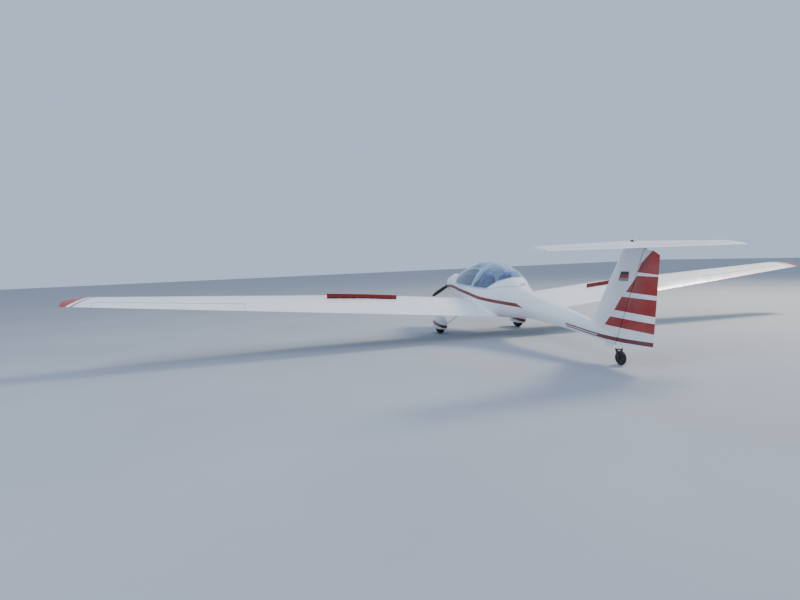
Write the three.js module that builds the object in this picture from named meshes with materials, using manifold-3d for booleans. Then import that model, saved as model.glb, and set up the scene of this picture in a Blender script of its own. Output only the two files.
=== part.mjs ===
// Two-seat touring motor glider: low wing of 16 m span, T-tail, fixed tail-wheel gear, nose propeller.
// It stands parked on its three wheels with the airbrakes out. All sizes are in millimetres.
// Ground frame: +X to the nose, +Y to the left wing tip, +Z up, origin on the floor at mid length.
// Airframe frame: the same directions, level in flight, with its origin where the tail wheel stands.

import * as THREE from 'three';
import { mergeVertices } from 'three/addons/utils/BufferGeometryUtils.js';
import Module from 'manifold-3d';

const wasm = await Module();
wasm.setup();

// Whole aircraft
const PARKED_PITCH = THREE.MathUtils.degToRad(8.5);
const TAIL_WHEEL_X = -2669.46;
const GAP = 0.3;
const HINGE_GAP = 6;
const RUNNING_GAP = 0.5;
const PIN_GAP = 0.7;

// Fuselage stations along X
const BOOM_FRONT_X = 2400;
const FIREWALL_X = 5270;
const COWL_FRONT_X = 5900;
const SKIN = 20;
const COWL_SKIN = 12;
const RING_POINTS = 28;

// Canopy
const CANOPY_REAR_X = 2850;
const CANOPY_FRAME_WIDTH = 42;
const CANOPY_FRAME_DEPTH = 26;
const GLASS = 6;
const ARCH_X = 4050;
const HOOP_DEPTH = 95;

// Wing
const HALF_SPAN = 8000;
const WING_ROOT_Y = 300;
const AILERON_IN_Y = 5190;
const AILERON_OUT_Y = 7560;
const AILERON_CHORD = 0.25;
const BRAKE_IN_Y = 2250;
const BRAKE_OUT_Y = 3660;
const BRAKE_HEIGHT = 92;
const BRAKE_CHORD_PLACE = 0.53;

// Tail
const FIN_BASE_Z = 430;
const FIN_TOP_Z = 1790;
const RUDDER_HINGE = { low: { x: 87, z: 264 }, high: { x: -266, z: 1748 } };
const TAILPLANE_HALF_SPAN = 1635;
const TAILPLANE_Z = 1796;
const TAILPLANE_TE_X = -426;
const ELEVATOR_HINGE_X = -297;

// Wheels, in the ground frame
const WHEELBASE = 4645;
const TRACK = 1962;
const MAIN_TYRE = { radius: 180, width: 124, rim: 70 };
const TAIL_TYRE = { radius: 105, width: 62, rim: 52 };
const AXLE_RADIUS = 16;

// Propeller
const PROP_X = 5948;
const PROP_Z = 245;
const PROP_RADIUS = 775;
const PROP_REST_ANGLE = THREE.MathUtils.degToRad(31);
const HUB_BACK = 44;
const SPINNER_RADIUS = 140;

// Materials
const paint = (color, roughness, metalness) =>
  new THREE.MeshStandardMaterial({ color, roughness, metalness });
const gelcoat = () => paint(0xf1f3f4, 0.3, 0);
const redPaint = () => paint(0xb3261e, 0.35, 0);
const darkPaint = () => paint(0x1b1c1e, 0.45, 0);
const acrylic = () => paint(0xa9c6de, 0.08, 0);
const steel = () => paint(0x8d9196, 0.4, 0.9);
const aluminium = () => paint(0xb9bdc1, 0.4, 0.8);
const rubber = () => paint(0x17181a, 0.9, 0);
const fabric = () => paint(0x2b3f74, 0.9, 0);
const trim = () => paint(0x2c2f33, 0.7, 0);

// Reads a table at any value of its first column, along a smooth curve through its rows
function readTable(rows, at) {
  const last = rows.length - 2;
  const found = rows.findIndex((row, n) => n <= last && at <= rows[n + 1][0]);
  const i = found < 0 ? last : found;
  const [a, b] = [rows[i], rows[i + 1]];
  const before = rows[Math.max(i - 1, 0)];
  const after = rows[Math.min(i + 2, last + 1)];
  const span = b[0] - a[0];
  const t = (at - a[0]) / span;
  return a.slice(1).map((value, n) => {
    const c = n + 1;
    const slopeA = ((b[c] - before[c]) / (b[0] - before[0])) * span;
    const slopeB = ((after[c] - a[c]) / (after[0] - a[0])) * span;
    const rise = b[c] - value;
    return value + t * (slopeA + t * (3 * rise - 2 * slopeA - slopeB + t * (slopeA + slopeB - 2 * rise)));
  });
}

// Turns a closed triangle list so that its faces point out
function outward(positions, triangles) {
  const [a, b, c] = [new THREE.Vector3(), new THREE.Vector3(), new THREE.Vector3()];
  let volume = 0;
  for (let i = 0; i < triangles.length; i += 3) {
    a.fromArray(positions, triangles[i] * 3);
    b.fromArray(positions, triangles[i + 1] * 3);
    c.fromArray(positions, triangles[i + 2] * 3);
    volume += a.dot(b.cross(c));
  }
  if (volume < 0) {
    for (let i = 0; i < triangles.length; i += 3) {
      [triangles[i], triangles[i + 1]] = [triangles[i + 1], triangles[i]];
    }
  }
  const geometry = new THREE.BufferGeometry();
  geometry.setAttribute('position', new THREE.Float32BufferAttribute(positions, 3));
  geometry.setIndex(triangles);
  return geometry;
}

// Joins rings of equally many points into a closed body; point n of a ring faces its point count - n
function loft(rings) {
  const count = rings[0].length;
  const positions = rings.flat().flatMap((p) => [p.x, p.y, p.z]);
  const triangles = [];
  for (let r = 0; r + 1 < rings.length; r += 1) {
    for (let n = 0; n < count; n += 1) {
      const m = (n + 1) % count;
      const [a, b] = [r * count + n, r * count + m];
      const [c, d] = [a + count, b + count];
      triangles.push(a, b, d, a, d, c);
    }
  }
  const cap = (start, flip) => {
    for (let n = 0; n < count / 2; n += 1) {
      const [a, b] = [n, n + 1];
      const [c, d] = [(count - n) % count, count - n - 1];
      const faces = [];
      if (a !== c) faces.push([a, b, c]);
      if (b !== d) faces.push([c, b, d]);
      for (const face of faces) {
        const [p, q, s] = face.map((k) => k + start);
        triangles.push(p, flip ? s : q, flip ? q : s);
      }
    }
  };
  cap(0, true);
  cap((rings.length - 1) * count, false);
  return outward(positions, triangles);
}

// Solids for cutting and joining
function closed(geometry) {
  const plain = geometry.clone();
  plain.deleteAttribute('normal');
  plain.deleteAttribute('uv');
  const merged = mergeVertices(plain, 1e-3);
  return outward([...merged.attributes.position.array], [...merged.index.array]);
}

function solid(geometry) {
  const body = closed(geometry);
  return new wasm.Manifold(new wasm.Mesh({
    numProp: 3,
    vertProperties: new Float32Array(body.attributes.position.array),
    triVerts: new Uint32Array(body.index.array),
  }));
}

function shapeOf(manifold) {
  const mesh = manifold.getMesh();
  const geometry = new THREE.BufferGeometry();
  geometry.setAttribute('position', new THREE.Float32BufferAttribute(mesh.vertProperties, 3));
  geometry.setIndex([...mesh.triVerts]);
  return geometry;
}

const cut = (body, ...tools) => tools.reduce((left, tool) => left.subtract(tool), body);
const join = (body, ...others) => others.reduce((sum, other) => sum.add(other), body);

function box(x0, x1, y0, y1, z0, z1) {
  const geometry = new THREE.BoxGeometry(x1 - x0, y1 - y0, z1 - z0);
  return geometry.translate((x0 + x1) / 2, (y0 + y1) / 2, (z0 + z1) / 2);
}

// A round bar between two points
function bar(from, to, radius, endRadius = radius, sides = 12) {
  const along = new THREE.Vector3().subVectors(to, from);
  const geometry = new THREE.CylinderGeometry(endRadius, radius, along.length(), sides);
  geometry.translate(0, along.length() / 2, 0);
  const turn = new THREE.Quaternion().setFromUnitVectors(new THREE.Vector3(0, 1, 0), along.normalize());
  return geometry.applyQuaternion(turn).translate(from.x, from.y, from.z);
}

// A plate drawn in the XZ plane and as thick as y0 to y1
function sidePlate(corners, y0, y1) {
  const shape = new THREE.Shape(corners.map(([x, z]) => new THREE.Vector2(x, z)));
  const geometry = new THREE.ExtrudeGeometry(shape, { depth: y1 - y0, bevelEnabled: false });
  return geometry.rotateX(Math.PI / 2).translate(0, y1, 0);
}

const mirrored = (geometry) => closed(geometry.clone().scale(1, -1, 1));

// Fuselage outer shape.
// Columns: x, half width, top z, bottom z, z of the widest line, crown exponent, belly exponent
const BODY = [
  [60, 42, 480, 262, 372, 2.0, 2.0],
  [720, 92, 512, 250, 382, 2.0, 2.0],
  [1600, 150, 556, 187, 372, 2.0, 2.0],
  [2200, 192, 584, 138, 360, 2.0, 2.1],
  [2450, 202, 594, 110, 350, 2.0, 2.2],
  [2700, 236, 634, 62, 342, 2.0, 2.4],
  [3000, 328, 738, -10, 338, 2.0, 2.7],
  [3400, 478, 903, -80, 330, 2.0, 3.0],
  [3800, 535, 954, -108, 320, 2.0, 3.2],
  [4200, 540, 936, -115, 310, 2.0, 3.2],
  [4600, 520, 862, -110, 300, 2.0, 3.0],
  [4950, 480, 724, -97, 282, 2.0, 2.7],
  [5273, 446, 560, -100, 245, 2.1, 2.5],
  [5500, 420, 474, -112, 220, 2.2, 2.5],
  [5700, 378, 424, -78, 212, 2.3, 2.4],
  [5900, 290, 368, 0, 210, 2.3, 2.3],
];

// One ring of the fuselage at x, moved out by a margin
function bodyRing(x, margin) {
  const [halfWidth, top, bottom, widest, crown, belly] = readTable(BODY, x);
  return Array.from({ length: RING_POINTS }, (_, n) => {
    const turn = (2 * Math.PI * n) / RING_POINTS - Math.PI / 2;
    const [c, s] = [Math.cos(turn), Math.sin(turn)];
    const power = 2 / (s > 0 ? crown : belly);
    const rise = s > 0 ? top - widest + margin : widest - bottom + margin;
    return new THREE.Vector3(
      x,
      Math.sign(c) * Math.abs(c) ** power * (halfWidth + margin),
      widest + Math.sign(s) * Math.abs(s) ** power * rise,
    );
  });
}

// Every body that follows the fuselage has its rings at the same stations, so that facets lie together
const STATION_PITCH = 195;
const STATIONS = [BODY[0][0]];
for (const end of [BOOM_FRONT_X, FIREWALL_X, COWL_FRONT_X]) {
  const start = STATIONS.at(-1);
  const steps = Math.ceil((end - start) / STATION_PITCH);
  for (let n = 1; n <= steps; n += 1) STATIONS.push(start + ((end - start) * n) / steps);
}

function bodySlice(x0, x1, margin) {
  const between = STATIONS.filter((x) => x > x0 + 1 && x < x1 - 1);
  return solid(loft([x0, ...between, x1].map((x) => bodyRing(x, margin))));
}

// Canopy outline in the XZ plane, from the windscreen foot back along the sill and over the rear end
const SILL = [
  [5066, 740], [5030, 400], [4985, 347], [4920, 337], [4600, 372], [4000, 436], [3470, 490],
  [3280, 555], [3080, 615], [2950, 638], [CANOPY_REAR_X, 650],
];
const ABOVE = 1100;

// The outline drawn in by a margin, as a prism that reaches across the whole cabin
function canopyPrism(margin, rear = CANOPY_REAR_X + margin, front = FIREWALL_X) {
  const line = SILL.map(([x, z], n) => {
    const [px, pz] = SILL[Math.max(n - 1, 0)];
    const [qx, qz] = SILL[Math.min(n + 1, SILL.length - 1)];
    const length = Math.hypot(qx - px, qz - pz);
    return [x + ((qz - pz) / length) * margin, z - ((qx - px) / length) * margin];
  });
  const corners = line.slice(0, -1);
  corners.push([CANOPY_REAR_X + margin, line.at(-1)[1]], [CANOPY_REAR_X + margin, ABOVE]);
  corners.push([line[0][0], ABOVE]);
  const whole = solid(sidePlate(corners, -700, 700));
  return whole.intersect(solid(box(rear, front, -701, 701, -300, ABOVE + 1)));
}

const cabinOuter = bodySlice(BOOM_FRONT_X + GAP, FIREWALL_X, 0);
const cabinInner = bodySlice(BOOM_FRONT_X - 50, FIREWALL_X + 50, -SKIN);
const cabinLining = bodySlice(BOOM_FRONT_X - 50, FIREWALL_X + 50, -SKIN - GAP);
const fuselageEnvelope = bodySlice(BOOM_FRONT_X + 10, COWL_FRONT_X, GAP);

// Hinge at the rear top of the canopy: a barrel on the canopy between two barrels on the shell
const CANOPY_HINGE = { x: 2850, z: 713, radius: 9, innerY: 22, outerY: 58 };
const hingeBarrel = (y0, y1) => solid(bar(
  new THREE.Vector3(CANOPY_HINGE.x, y0, CANOPY_HINGE.z),
  new THREE.Vector3(CANOPY_HINGE.x, y1, CANOPY_HINGE.z), CANOPY_HINGE.radius));
const shellLugs = [1, -1].flatMap((side) => {
  const [y0, y1] = [CANOPY_HINGE.innerY + PIN_GAP, CANOPY_HINGE.outerY].map((y) => y * side).sort((a, b) => a - b);
  return [hingeBarrel(y0, y1), solid(box(2812, 2846, y0, y1, CANOPY_HINGE.z - 40, CANOPY_HINGE.z))];
});
const canopyLug = join(
  hingeBarrel(-CANOPY_HINGE.innerY, CANOPY_HINGE.innerY),
  solid(box(2854.5, 2885, -CANOPY_HINGE.innerY, CANOPY_HINGE.innerY, CANOPY_HINGE.z - 30, CANOPY_HINGE.z + 4)),
);

const SILL_INSET = 2;
const fuselageShell = join(cut(cabinOuter, cabinInner, canopyPrism(-SILL_INSET)), ...shellLugs);

const CANOPY_GAP = 3.5;
const inside = (depth) => bodySlice(BOOM_FRONT_X - 50, FIREWALL_X + 50, -depth);
const canopyBody = cabinOuter.intersect(canopyPrism(CANOPY_GAP));
const canopyRim = cut(canopyBody, inside(CANOPY_FRAME_DEPTH));
const HOOP_HALF = 22;
const frontPane = (margin) => canopyPrism(CANOPY_FRAME_WIDTH + margin, ARCH_X + HOOP_HALF + margin);
// The window ends on this line behind the seats, and the canopy's tail behind it is opaque
const WINDOW_REAR = [[3540, 440], [3464, 507], [3377, 572], [3299, 648], [3236, 692], [3140, 752], [3040, 800]];
const rearPane = (margin) => {
  const edge = WINDOW_REAR.map(([x, z]) => [x + margin * 0.6, z + margin * 0.8]);
  const ahead = solid(sidePlate([...edge, [3040, ABOVE], [4200, ABOVE], [4200, 300]], -701, 701));
  return canopyPrism(CANOPY_FRAME_WIDTH + margin, undefined, ARCH_X - HOOP_HALF - margin).intersect(ahead);
};
const hoop = cut(
  canopyBody.intersect(solid(box(ARCH_X - HOOP_HALF, ARCH_X + HOOP_HALF, -700, 700, 0, ABOVE))),
  inside(HOOP_DEPTH),
);
const canopyFrame = join(cut(canopyRim, frontPane(0), rearPane(0)), hoop, canopyLug);
const glassSkin = cut(bodySlice(BOOM_FRONT_X, FIREWALL_X, -2), inside(2 + GLASS));

// Inside the cabin
const FLOOR_Z = -60;
const cabinFloor = cabinLining.intersect(solid(box(2600, FIREWALL_X - 30, -600, 600, FLOOR_Z - 14, FLOOR_Z)));
const firewall = cabinLining.intersect(solid(box(FIREWALL_X - 14, FIREWALL_X - 2, -600, 600, -200, 900)));
const rearBulkhead = cabinLining.intersect(
  solid(box(2560, 2575, -600, 600, -200, 900)),
);

const panelProfile = [[4820, 330], [4850, 330], [5080, 500], [5090, 560], [4900, 590], [4790, 560]];
const canopyRoom = cut(canopyPrism(0), inside(CANOPY_FRAME_DEPTH + 8));
const instrumentPanel = cut(cabinLining.intersect(solid(sidePlate(panelProfile, -600, 600))), canopyRoom);

const SEAT_PROFILE = [
  [4590, 120], [4570, 150], [4440, 142], [4280, 95], [4150, 110], [3960, 545],
  [3850, 715], [3805, 742], [3755, 725], [3765, 660], [3865, 430], [4005, 60],
  [4055, FLOOR_Z + GAP], [4570, FLOOR_Z + GAP],
];
const seat = (side) => {
  const [inner, outer] = [40, 385];
  const [y0, y1] = side > 0 ? [inner, outer] : [-outer, -inner];
  return cabinLining.intersect(solid(sidePlate(SEAT_PROFILE, y0, y1)));
};

const CONSOLE_PROFILE = [[4790, FLOOR_Z + GAP], [4790, 120], [4600, 130], [4350, 60], [4350, FLOOR_Z + GAP]];
const centreConsole = solid(sidePlate(CONSOLE_PROFILE, -30, 30));

function controlStick(side) {
  const y = side * 215;
  const base = new THREE.Vector3(4640, y, FLOOR_Z + GAP);
  const foot = new THREE.Vector3(4640, y, FLOOR_Z + 12);
  const knee = new THREE.Vector3(4600, y, 180);
  const head = new THREE.Vector3(4570, y, 330);
  return join(
    solid(bar(base, new THREE.Vector3(4640, y, FLOOR_Z + 20), 40)),
    solid(bar(foot, knee, 12)),
    solid(bar(knee, head, 17)),
  );
}

// Engine cowling
const SPLIT_Z = 230;
const cowlOuter = bodySlice(FIREWALL_X + GAP, COWL_FRONT_X, 0);
const cowlInner = bodySlice(FIREWALL_X - 10, COWL_FRONT_X - COWL_SKIN, -COWL_SKIN);
const inlets = [1, -1].map((side) => {
  const hole = new THREE.CylinderGeometry(1, 1, 120, 16).rotateZ(Math.PI / 2).scale(1, 38, 46);
  return solid(hole.translate(COWL_FRONT_X - 10, side * 196, PROP_Z - 4));
});
const shaftHole = solid(bar(
  new THREE.Vector3(COWL_FRONT_X - 60, 0, PROP_Z),
  new THREE.Vector3(COWL_FRONT_X + 20, 0, PROP_Z), 56));
const cowlExit = solid(box(FIREWALL_X - 1, FIREWALL_X + 130, -150, 150, -200, 20));
const cowl = cut(cowlOuter, cowlInner, ...inlets, shaftHole, cowlExit);
const cowlUpper = cowl.intersect(solid(box(5000, 6100, -600, 600, SPLIT_Z + GAP, 900)));
const cowlLower = cowl.intersect(solid(box(5000, 6100, -600, 600, -300, SPLIT_Z)));

// One plain block for the flat engine, its shaft to the propeller and its bearers
const ENGINE_LOW_Z = PROP_Z - 159;
const engineBlock = join(
  solid(box(5360, 5740, -180, 180, ENGINE_LOW_Z, PROP_Z + 81)),
  solid(box(5400, 5620, -300, 300, PROP_Z - 84, PROP_Z + 36)),
  solid(bar(
    new THREE.Vector3(5700, 0, PROP_Z),
    new THREE.Vector3(PROP_X - HUB_BACK - RUNNING_GAP, 0, PROP_Z), 46)),
  ...[[1, 120], [-1, 120], [1, 290], [-1, 290]].map(([side, z]) => solid(bar(
    new THREE.Vector3(FIREWALL_X - 2 + GAP, side * 170, z),
    new THREE.Vector3(5400, side * 170, z), 14))),
);
const EXHAUST_TILT_RISE = 12.3;
const exhaustPipe = solid(bar(
  new THREE.Vector3(5440, 110, ENGINE_LOW_Z - GAP - EXHAUST_TILT_RISE), new THREE.Vector3(5300, 110, -165), 24));

// Wing sections. Columns: y, trailing edge x, trailing edge z, chord, incidence in degrees, thickness
const WING = [
  [0, 3252, -57, 1160, 4.2, 0.150],
  [2900, 3275, 203, 1150, 3.6, 0.145],
  [5500, 3296, 436, 860, 2.4, 0.140],
  [7700, 3313, 633, 600, 1.2, 0.130],
  [HALF_SPAN, 3316, 660, 470, 1.0, 0.110],
];
const WING_CAMBER = 0.05;
const CAMBER_PLACE = 0.5;
const CHORD_STEPS = 12;
const EDGE = 2;

// Cambered section: places from the trailing edge over the top to the nose and back below
function aerofoil(chord, thickness, camber, steps = CHORD_STEPS) {
  const place = (n) => (1 - Math.cos((Math.PI * n) / steps)) / 2;
  const half = (u) => 5 * thickness * (0.2969 * Math.sqrt(u) - 0.126 * u - 0.3516 * u * u
    + 0.2843 * u ** 3 - 0.1036 * u ** 4) * chord + (EDGE / 2) * u;
  const line = (u) => chord * camber * (u < CAMBER_PLACE
    ? (2 * CAMBER_PLACE * u - u * u) / CAMBER_PLACE ** 2
    : (1 - 2 * CAMBER_PLACE + 2 * CAMBER_PLACE * u - u * u) / (1 - CAMBER_PLACE) ** 2);
  const points = [];
  for (let n = 0; n <= steps; n += 1) points.push([place(n), 1]);
  for (let n = steps; n > 0; n -= 1) points.push([place(n), -1]);
  return points.map(([u, side]) => [chord * (1 - u), line(u) + side * half(u)]);
}

function wingFrame(y) {
  const rows = WING;
  const i = Math.min(rows.findIndex((row, n) => n + 1 < rows.length && y <= rows[n + 1][0]), rows.length - 2);
  const t = (y - rows[i][0]) / (rows[i + 1][0] - rows[i][0]);
  const [teX, teZ, chord, incidence, thickness] = rows[i].slice(1).map((v, n) => v + t * (rows[i + 1][n + 1] - v));
  return { y, teX, teZ, chord, pitch: THREE.MathUtils.degToRad(incidence), thickness };
}

// A point of the wing at span place y, a share of the chord ahead of the trailing edge and a height
function wingPoint(y, ahead, height) {
  const { teX, teZ, chord, pitch } = wingFrame(y);
  const along = ahead * chord;
  return new THREE.Vector3(
    teX + along * Math.cos(pitch) - height * Math.sin(pitch),
    y,
    teZ + along * Math.sin(pitch) + height * Math.cos(pitch),
  );
}

function wingRing(y) {
  const { teX, teZ, chord, pitch, thickness } = wingFrame(y);
  return aerofoil(chord, thickness, WING_CAMBER).map(([along, up]) => new THREE.Vector3(
    teX + along * Math.cos(pitch) - up * Math.sin(pitch),
    y,
    teZ + along * Math.sin(pitch) + up * Math.cos(pitch),
  ));
}

const WING_STATIONS = [WING_ROOT_Y, 700, 1800, 2900, 4200, 5500, 6600, 7400, 7700, 7850, 7950, HALF_SPAN];
const TIP_SHARE = new Map([[7850, 0.97], [7950, 0.86], [HALF_SPAN, 0.6]]);
const wingWhole = solid(loft(WING_STATIONS.map((y) => {
  const share = TIP_SHARE.get(y) ?? 1;
  const { teX, teZ } = wingFrame(y);
  return wingRing(y).map((p) =>
    new THREE.Vector3(teX + (p.x - teX) * share, y, teZ + (p.z - teZ) * share));
})));

// A wedge along the span that takes the moving surface out of the wing, and the surface itself
function spanPrism(y0, y1, section) {
  const between = WING.map(([y]) => y).filter((y) => y > y0 && y < y1);
  return solid(loft([y0, ...between, y1].map((y) => section(y))));
}

const AILERON_HALF_DEPTH = 0.037;
const aileronRadius = (y) => wingFrame(y).chord * AILERON_HALF_DEPTH;
const aileronAxis = (y) => wingPoint(y, AILERON_CHORD, wingFrame(y).chord * 0.0375);

function aileronBlock(y0, y1, clear) {
  return spanPrism(y0, y1, (y) => {
    const centre = aileronAxis(y);
    const radius = aileronRadius(y) + clear;
    const { teX, teZ } = wingFrame(y);
    const points = [];
    const nose = 11;
    const edge = Math.acos(clear / radius);
    for (let n = 0; n <= nose; n += 1) {
      const turn = edge - (2 * edge * n) / nose;
      points.push([centre.x + radius * Math.cos(turn), centre.z + radius * Math.sin(turn)]);
    }
    const back = teX - 60;
    const low = teZ - 90;
    const high = teZ + 110;
    const wall = centre.x + clear;
    const outline = [[back, high], [wall, high], ...points, [wall, low], [back, low]];
    return outline.map(([x, z]) => new THREE.Vector3(x, y, z));
  });
}

const aileronVoid = aileronBlock(AILERON_IN_Y - HINGE_GAP, AILERON_OUT_Y + HINGE_GAP, HINGE_GAP);
// Hinge pins stand out of both ends of a surface and run in the walls beside it
const PIN_REACH = HINGE_GAP - PIN_GAP;
const aileronPin = (y, out) => {
  const { x, z } = aileronAxis(y);
  return solid(bar(new THREE.Vector3(x, y - out * 20, z), new THREE.Vector3(x, y + out * PIN_REACH, z), 8));
};
const aileron = join(
  wingWhole.intersect(aileronBlock(AILERON_IN_Y, AILERON_OUT_Y, 0)),
  aileronPin(AILERON_IN_Y, -1),
  aileronPin(AILERON_OUT_Y, 1),
);

const brakeBlade = (y0, y1, low, high, halfThick) => spanPrism(y0, y1, (y) => {
  const { chord } = wingFrame(y);
  const shift = halfThick / chord;
  return [
    wingPoint(y, BRAKE_CHORD_PLACE - shift, low), wingPoint(y, BRAKE_CHORD_PLACE - shift, high),
    wingPoint(y, BRAKE_CHORD_PLACE + shift, high), wingPoint(y, BRAKE_CHORD_PLACE + shift, low),
  ];
});
// The blade is as deep as its slot, so that it can sink in flush; its ends run in the slot's ends
const WING_CREST = 124;
const SLOT_FLOOR = -10;
const brakeSlot = brakeBlade(
  BRAKE_IN_Y - RUNNING_GAP, BRAKE_OUT_Y + RUNNING_GAP, SLOT_FLOOR, WING_CREST + 80, 14);
const airbrake = brakeBlade(
  BRAKE_IN_Y, BRAKE_OUT_Y, SLOT_FLOOR + 6 + BRAKE_HEIGHT, WING_CREST + BRAKE_HEIGHT, 6);

const wingLeft = cut(wingWhole, fuselageEnvelope, aileronVoid, brakeSlot);

// Tailplane sections. Columns: y, leading edge x, thickness share
const TAILPLANE = [
  [-TAILPLANE_HALF_SPAN, -26, 0.09], [-TAILPLANE_HALF_SPAN + 60, 0, 0.1], [0, 214, 0.105],
  [TAILPLANE_HALF_SPAN - 60, 0, 0.1], [TAILPLANE_HALF_SPAN, -26, 0.09],
];
const tailRing = ([y, lead, thickness], margin = 0) =>
  aerofoil(lead - TAILPLANE_TE_X, thickness, 0, 10).map(([along, up]) =>
    new THREE.Vector3(TAILPLANE_TE_X + along, y, TAILPLANE_Z + up + Math.sign(up) * margin));
const tailWhole = solid(loft(TAILPLANE.map((row) => tailRing(row))));
const tailEnvelope = solid(loft(TAILPLANE.map((row) => tailRing(row, GAP))));

// Everything behind a hinge line along Y, with a round nose
function behindHinge(x, z, radius, halfWidth) {
  const nose = solid(bar(new THREE.Vector3(x, -halfWidth, z), new THREE.Vector3(x, halfWidth, z), radius, radius, 28));
  return nose.add(solid(box(x - 400, x, -halfWidth, halfWidth, z - 60, z + 60)));
}
const ELEVATOR_RADIUS = 16;
const ELEVATOR_HALF = TAILPLANE_HALF_SPAN - 90;
const elevatorVoid = behindHinge(
  ELEVATOR_HINGE_X, TAILPLANE_Z, ELEVATOR_RADIUS + HINGE_GAP, ELEVATOR_HALF + HINGE_GAP);
const elevatorPins = solid(bar(
  new THREE.Vector3(ELEVATOR_HINGE_X, -ELEVATOR_HALF - PIN_REACH, TAILPLANE_Z),
  new THREE.Vector3(ELEVATOR_HINGE_X, ELEVATOR_HALF + PIN_REACH, TAILPLANE_Z), 7));
const elevator = join(
  tailWhole.intersect(behindHinge(ELEVATOR_HINGE_X, TAILPLANE_Z, ELEVATOR_RADIUS, ELEVATOR_HALF)),
  elevatorPins,
);
const tailplane = tailWhole.subtract(elevatorVoid);

// Fin and rudder sections by height.
// Columns: z, leading edge x, trailing edge x, thickness
const FIN = [
  [FIN_BASE_Z, 930, -575, 104],
  [520, 718, -577, 100],
  [1100, 455, -550, 84],
  [1700, 182, -521, 68],
  [FIN_TOP_Z, 141, -517, 66],
];
const finRing = ([z, lead, trail, thick]) => aerofoil(lead - trail, thick / (lead - trail), 0, 12)
  .map(([along, side]) => new THREE.Vector3(trail + along, side, z));
const finWhole = solid(loft(FIN.map(finRing)));
const finLow = solid(loft([[240, 900, -585, 96], [FIN_BASE_Z, 900, -575, 104]].map(finRing)));

const hingeSlope = (RUDDER_HINGE.high.x - RUDDER_HINGE.low.x) / (RUDDER_HINGE.high.z - RUDDER_HINGE.low.z);
const hingeX = (z) => RUDDER_HINGE.low.x + (z - RUDDER_HINGE.low.z) * hingeSlope;
const postPoint = (z) => new THREE.Vector3(hingeX(z), 0, z);

// Everything behind the rudder post between two heights, with a round nose that thins upwards
const POST_RADIUS = { low: 47, high: 28 };
function behindPost(zLow, zHigh, clear) {
  const [radius, endRadius] = [zLow, zHigh].map((z) => clear + THREE.MathUtils.mapLinear(
    z, RUDDER_HINGE.low.z, RUDDER_HINGE.high.z, POST_RADIUS.low, POST_RADIUS.high));
  const nose = solid(bar(postPoint(zLow), postPoint(zHigh), radius, endRadius, 28));
  const corners = [[hingeX(zLow), zLow], [hingeX(zHigh), zHigh], [-900, zHigh], [-900, zLow]];
  return nose.add(solid(sidePlate(corners, -150, 150)));
}
const rudderOutline = solid(sidePlate(
  [[150, 268], [-560, 436], [-620, 446], [-620, 1675], [-379, 1748], [0, 1748]], -150, 150));
const rudder = join(finWhole, finLow).intersect(rudderOutline).intersect(behindPost(200, 1840, 0));

// Hinge blocks on the fin's post reach back to the rudder's round nose.
// Columns: z, half width
const POST_BLOCKS = [[620, 22], [1520, 14]];
const postBlocks = POST_BLOCKS.map(([z, half]) =>
  solid(box(hingeX(z), hingeX(z) + 100, -half, half, z - 18, z + 18)));
const rudderVoid = join(
  cut(behindPost(200, 1840, HINGE_GAP), ...postBlocks),
  behindPost(200, 1840, PIN_GAP),
);
const boomWhole = bodySlice(BODY[0][0], BOOM_FRONT_X, 0);
const boomEnvelope = bodySlice(BODY[0][0], BOOM_FRONT_X, GAP);
const fin = cut(finWhole, rudderVoid, tailEnvelope, boomEnvelope);
const tailBoom = cut(boomWhole, rudderVoid);

// Propeller, turned about its shaft
const BLADE = [
  // Columns: radius, chord, pitch in degrees, thickness share
  [60, 70, 62, 0.5], [150, 92, 50, 0.3], [300, 116, 36, 0.17], [500, 118, 25, 0.13],
  [680, 96, 19, 0.11], [745, 70, 17, 0.1], [PROP_RADIUS, 26, 16, 0.1],
];
function bladeSolid() {
  return solid(loft(BLADE.map(([radius, chord, pitch, share]) => {
    const turn = THREE.MathUtils.degToRad(pitch);
    return aerofoil(chord, share, 0, 7).map(([along, up]) => {
      const across = along - chord * 0.6;
      return new THREE.Vector3(
        up * Math.cos(turn) + across * Math.sin(turn),
        up * -Math.sin(turn) + across * Math.cos(turn),
        radius,
      );
    });
  })));
}
const halfTurn = (manifold) => solid(shapeOf(manifold).rotateX(Math.PI));
const bladeUp = bladeSolid();
const propellerHub = solid(bar(new THREE.Vector3(-HUB_BACK, 0, 0), new THREE.Vector3(46, 0, 0), 76));
const propeller = join(propellerHub, bladeUp, halfTurn(bladeUp));

// Spinner: a hollow cone on a back plate, notched for the blades
const spinnerProfile = [
  [0, -38], [SPINNER_RADIUS, -38], [SPINNER_RADIUS - 3, 40], [120, 118], [88, 190], [48, 242], [0, 262.4],
];
const spinnerInner = [
  [0, -30], [SPINNER_RADIUS - 8, -30], [SPINNER_RADIUS - 11, 40], [110, 112], [78, 180], [0, 230],
];
const lathe = (profile, sides) => new THREE.LatheGeometry(
  profile.map(([r, along]) => new THREE.Vector2(r, along)), sides).rotateZ(-Math.PI / 2);
const bladeNotch = solid(box(-60, 60, -56, 56, -SPINNER_RADIUS - 10, SPINNER_RADIUS + 10));
const hubHole = solid(bar(new THREE.Vector3(-60, 0, 0), new THREE.Vector3(46 + GAP, 0, 0), 76 + GAP));
const spinner = cut(solid(lathe(spinnerProfile, 24)), solid(lathe(spinnerInner, 24)), bladeNotch, hubHole);

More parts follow.
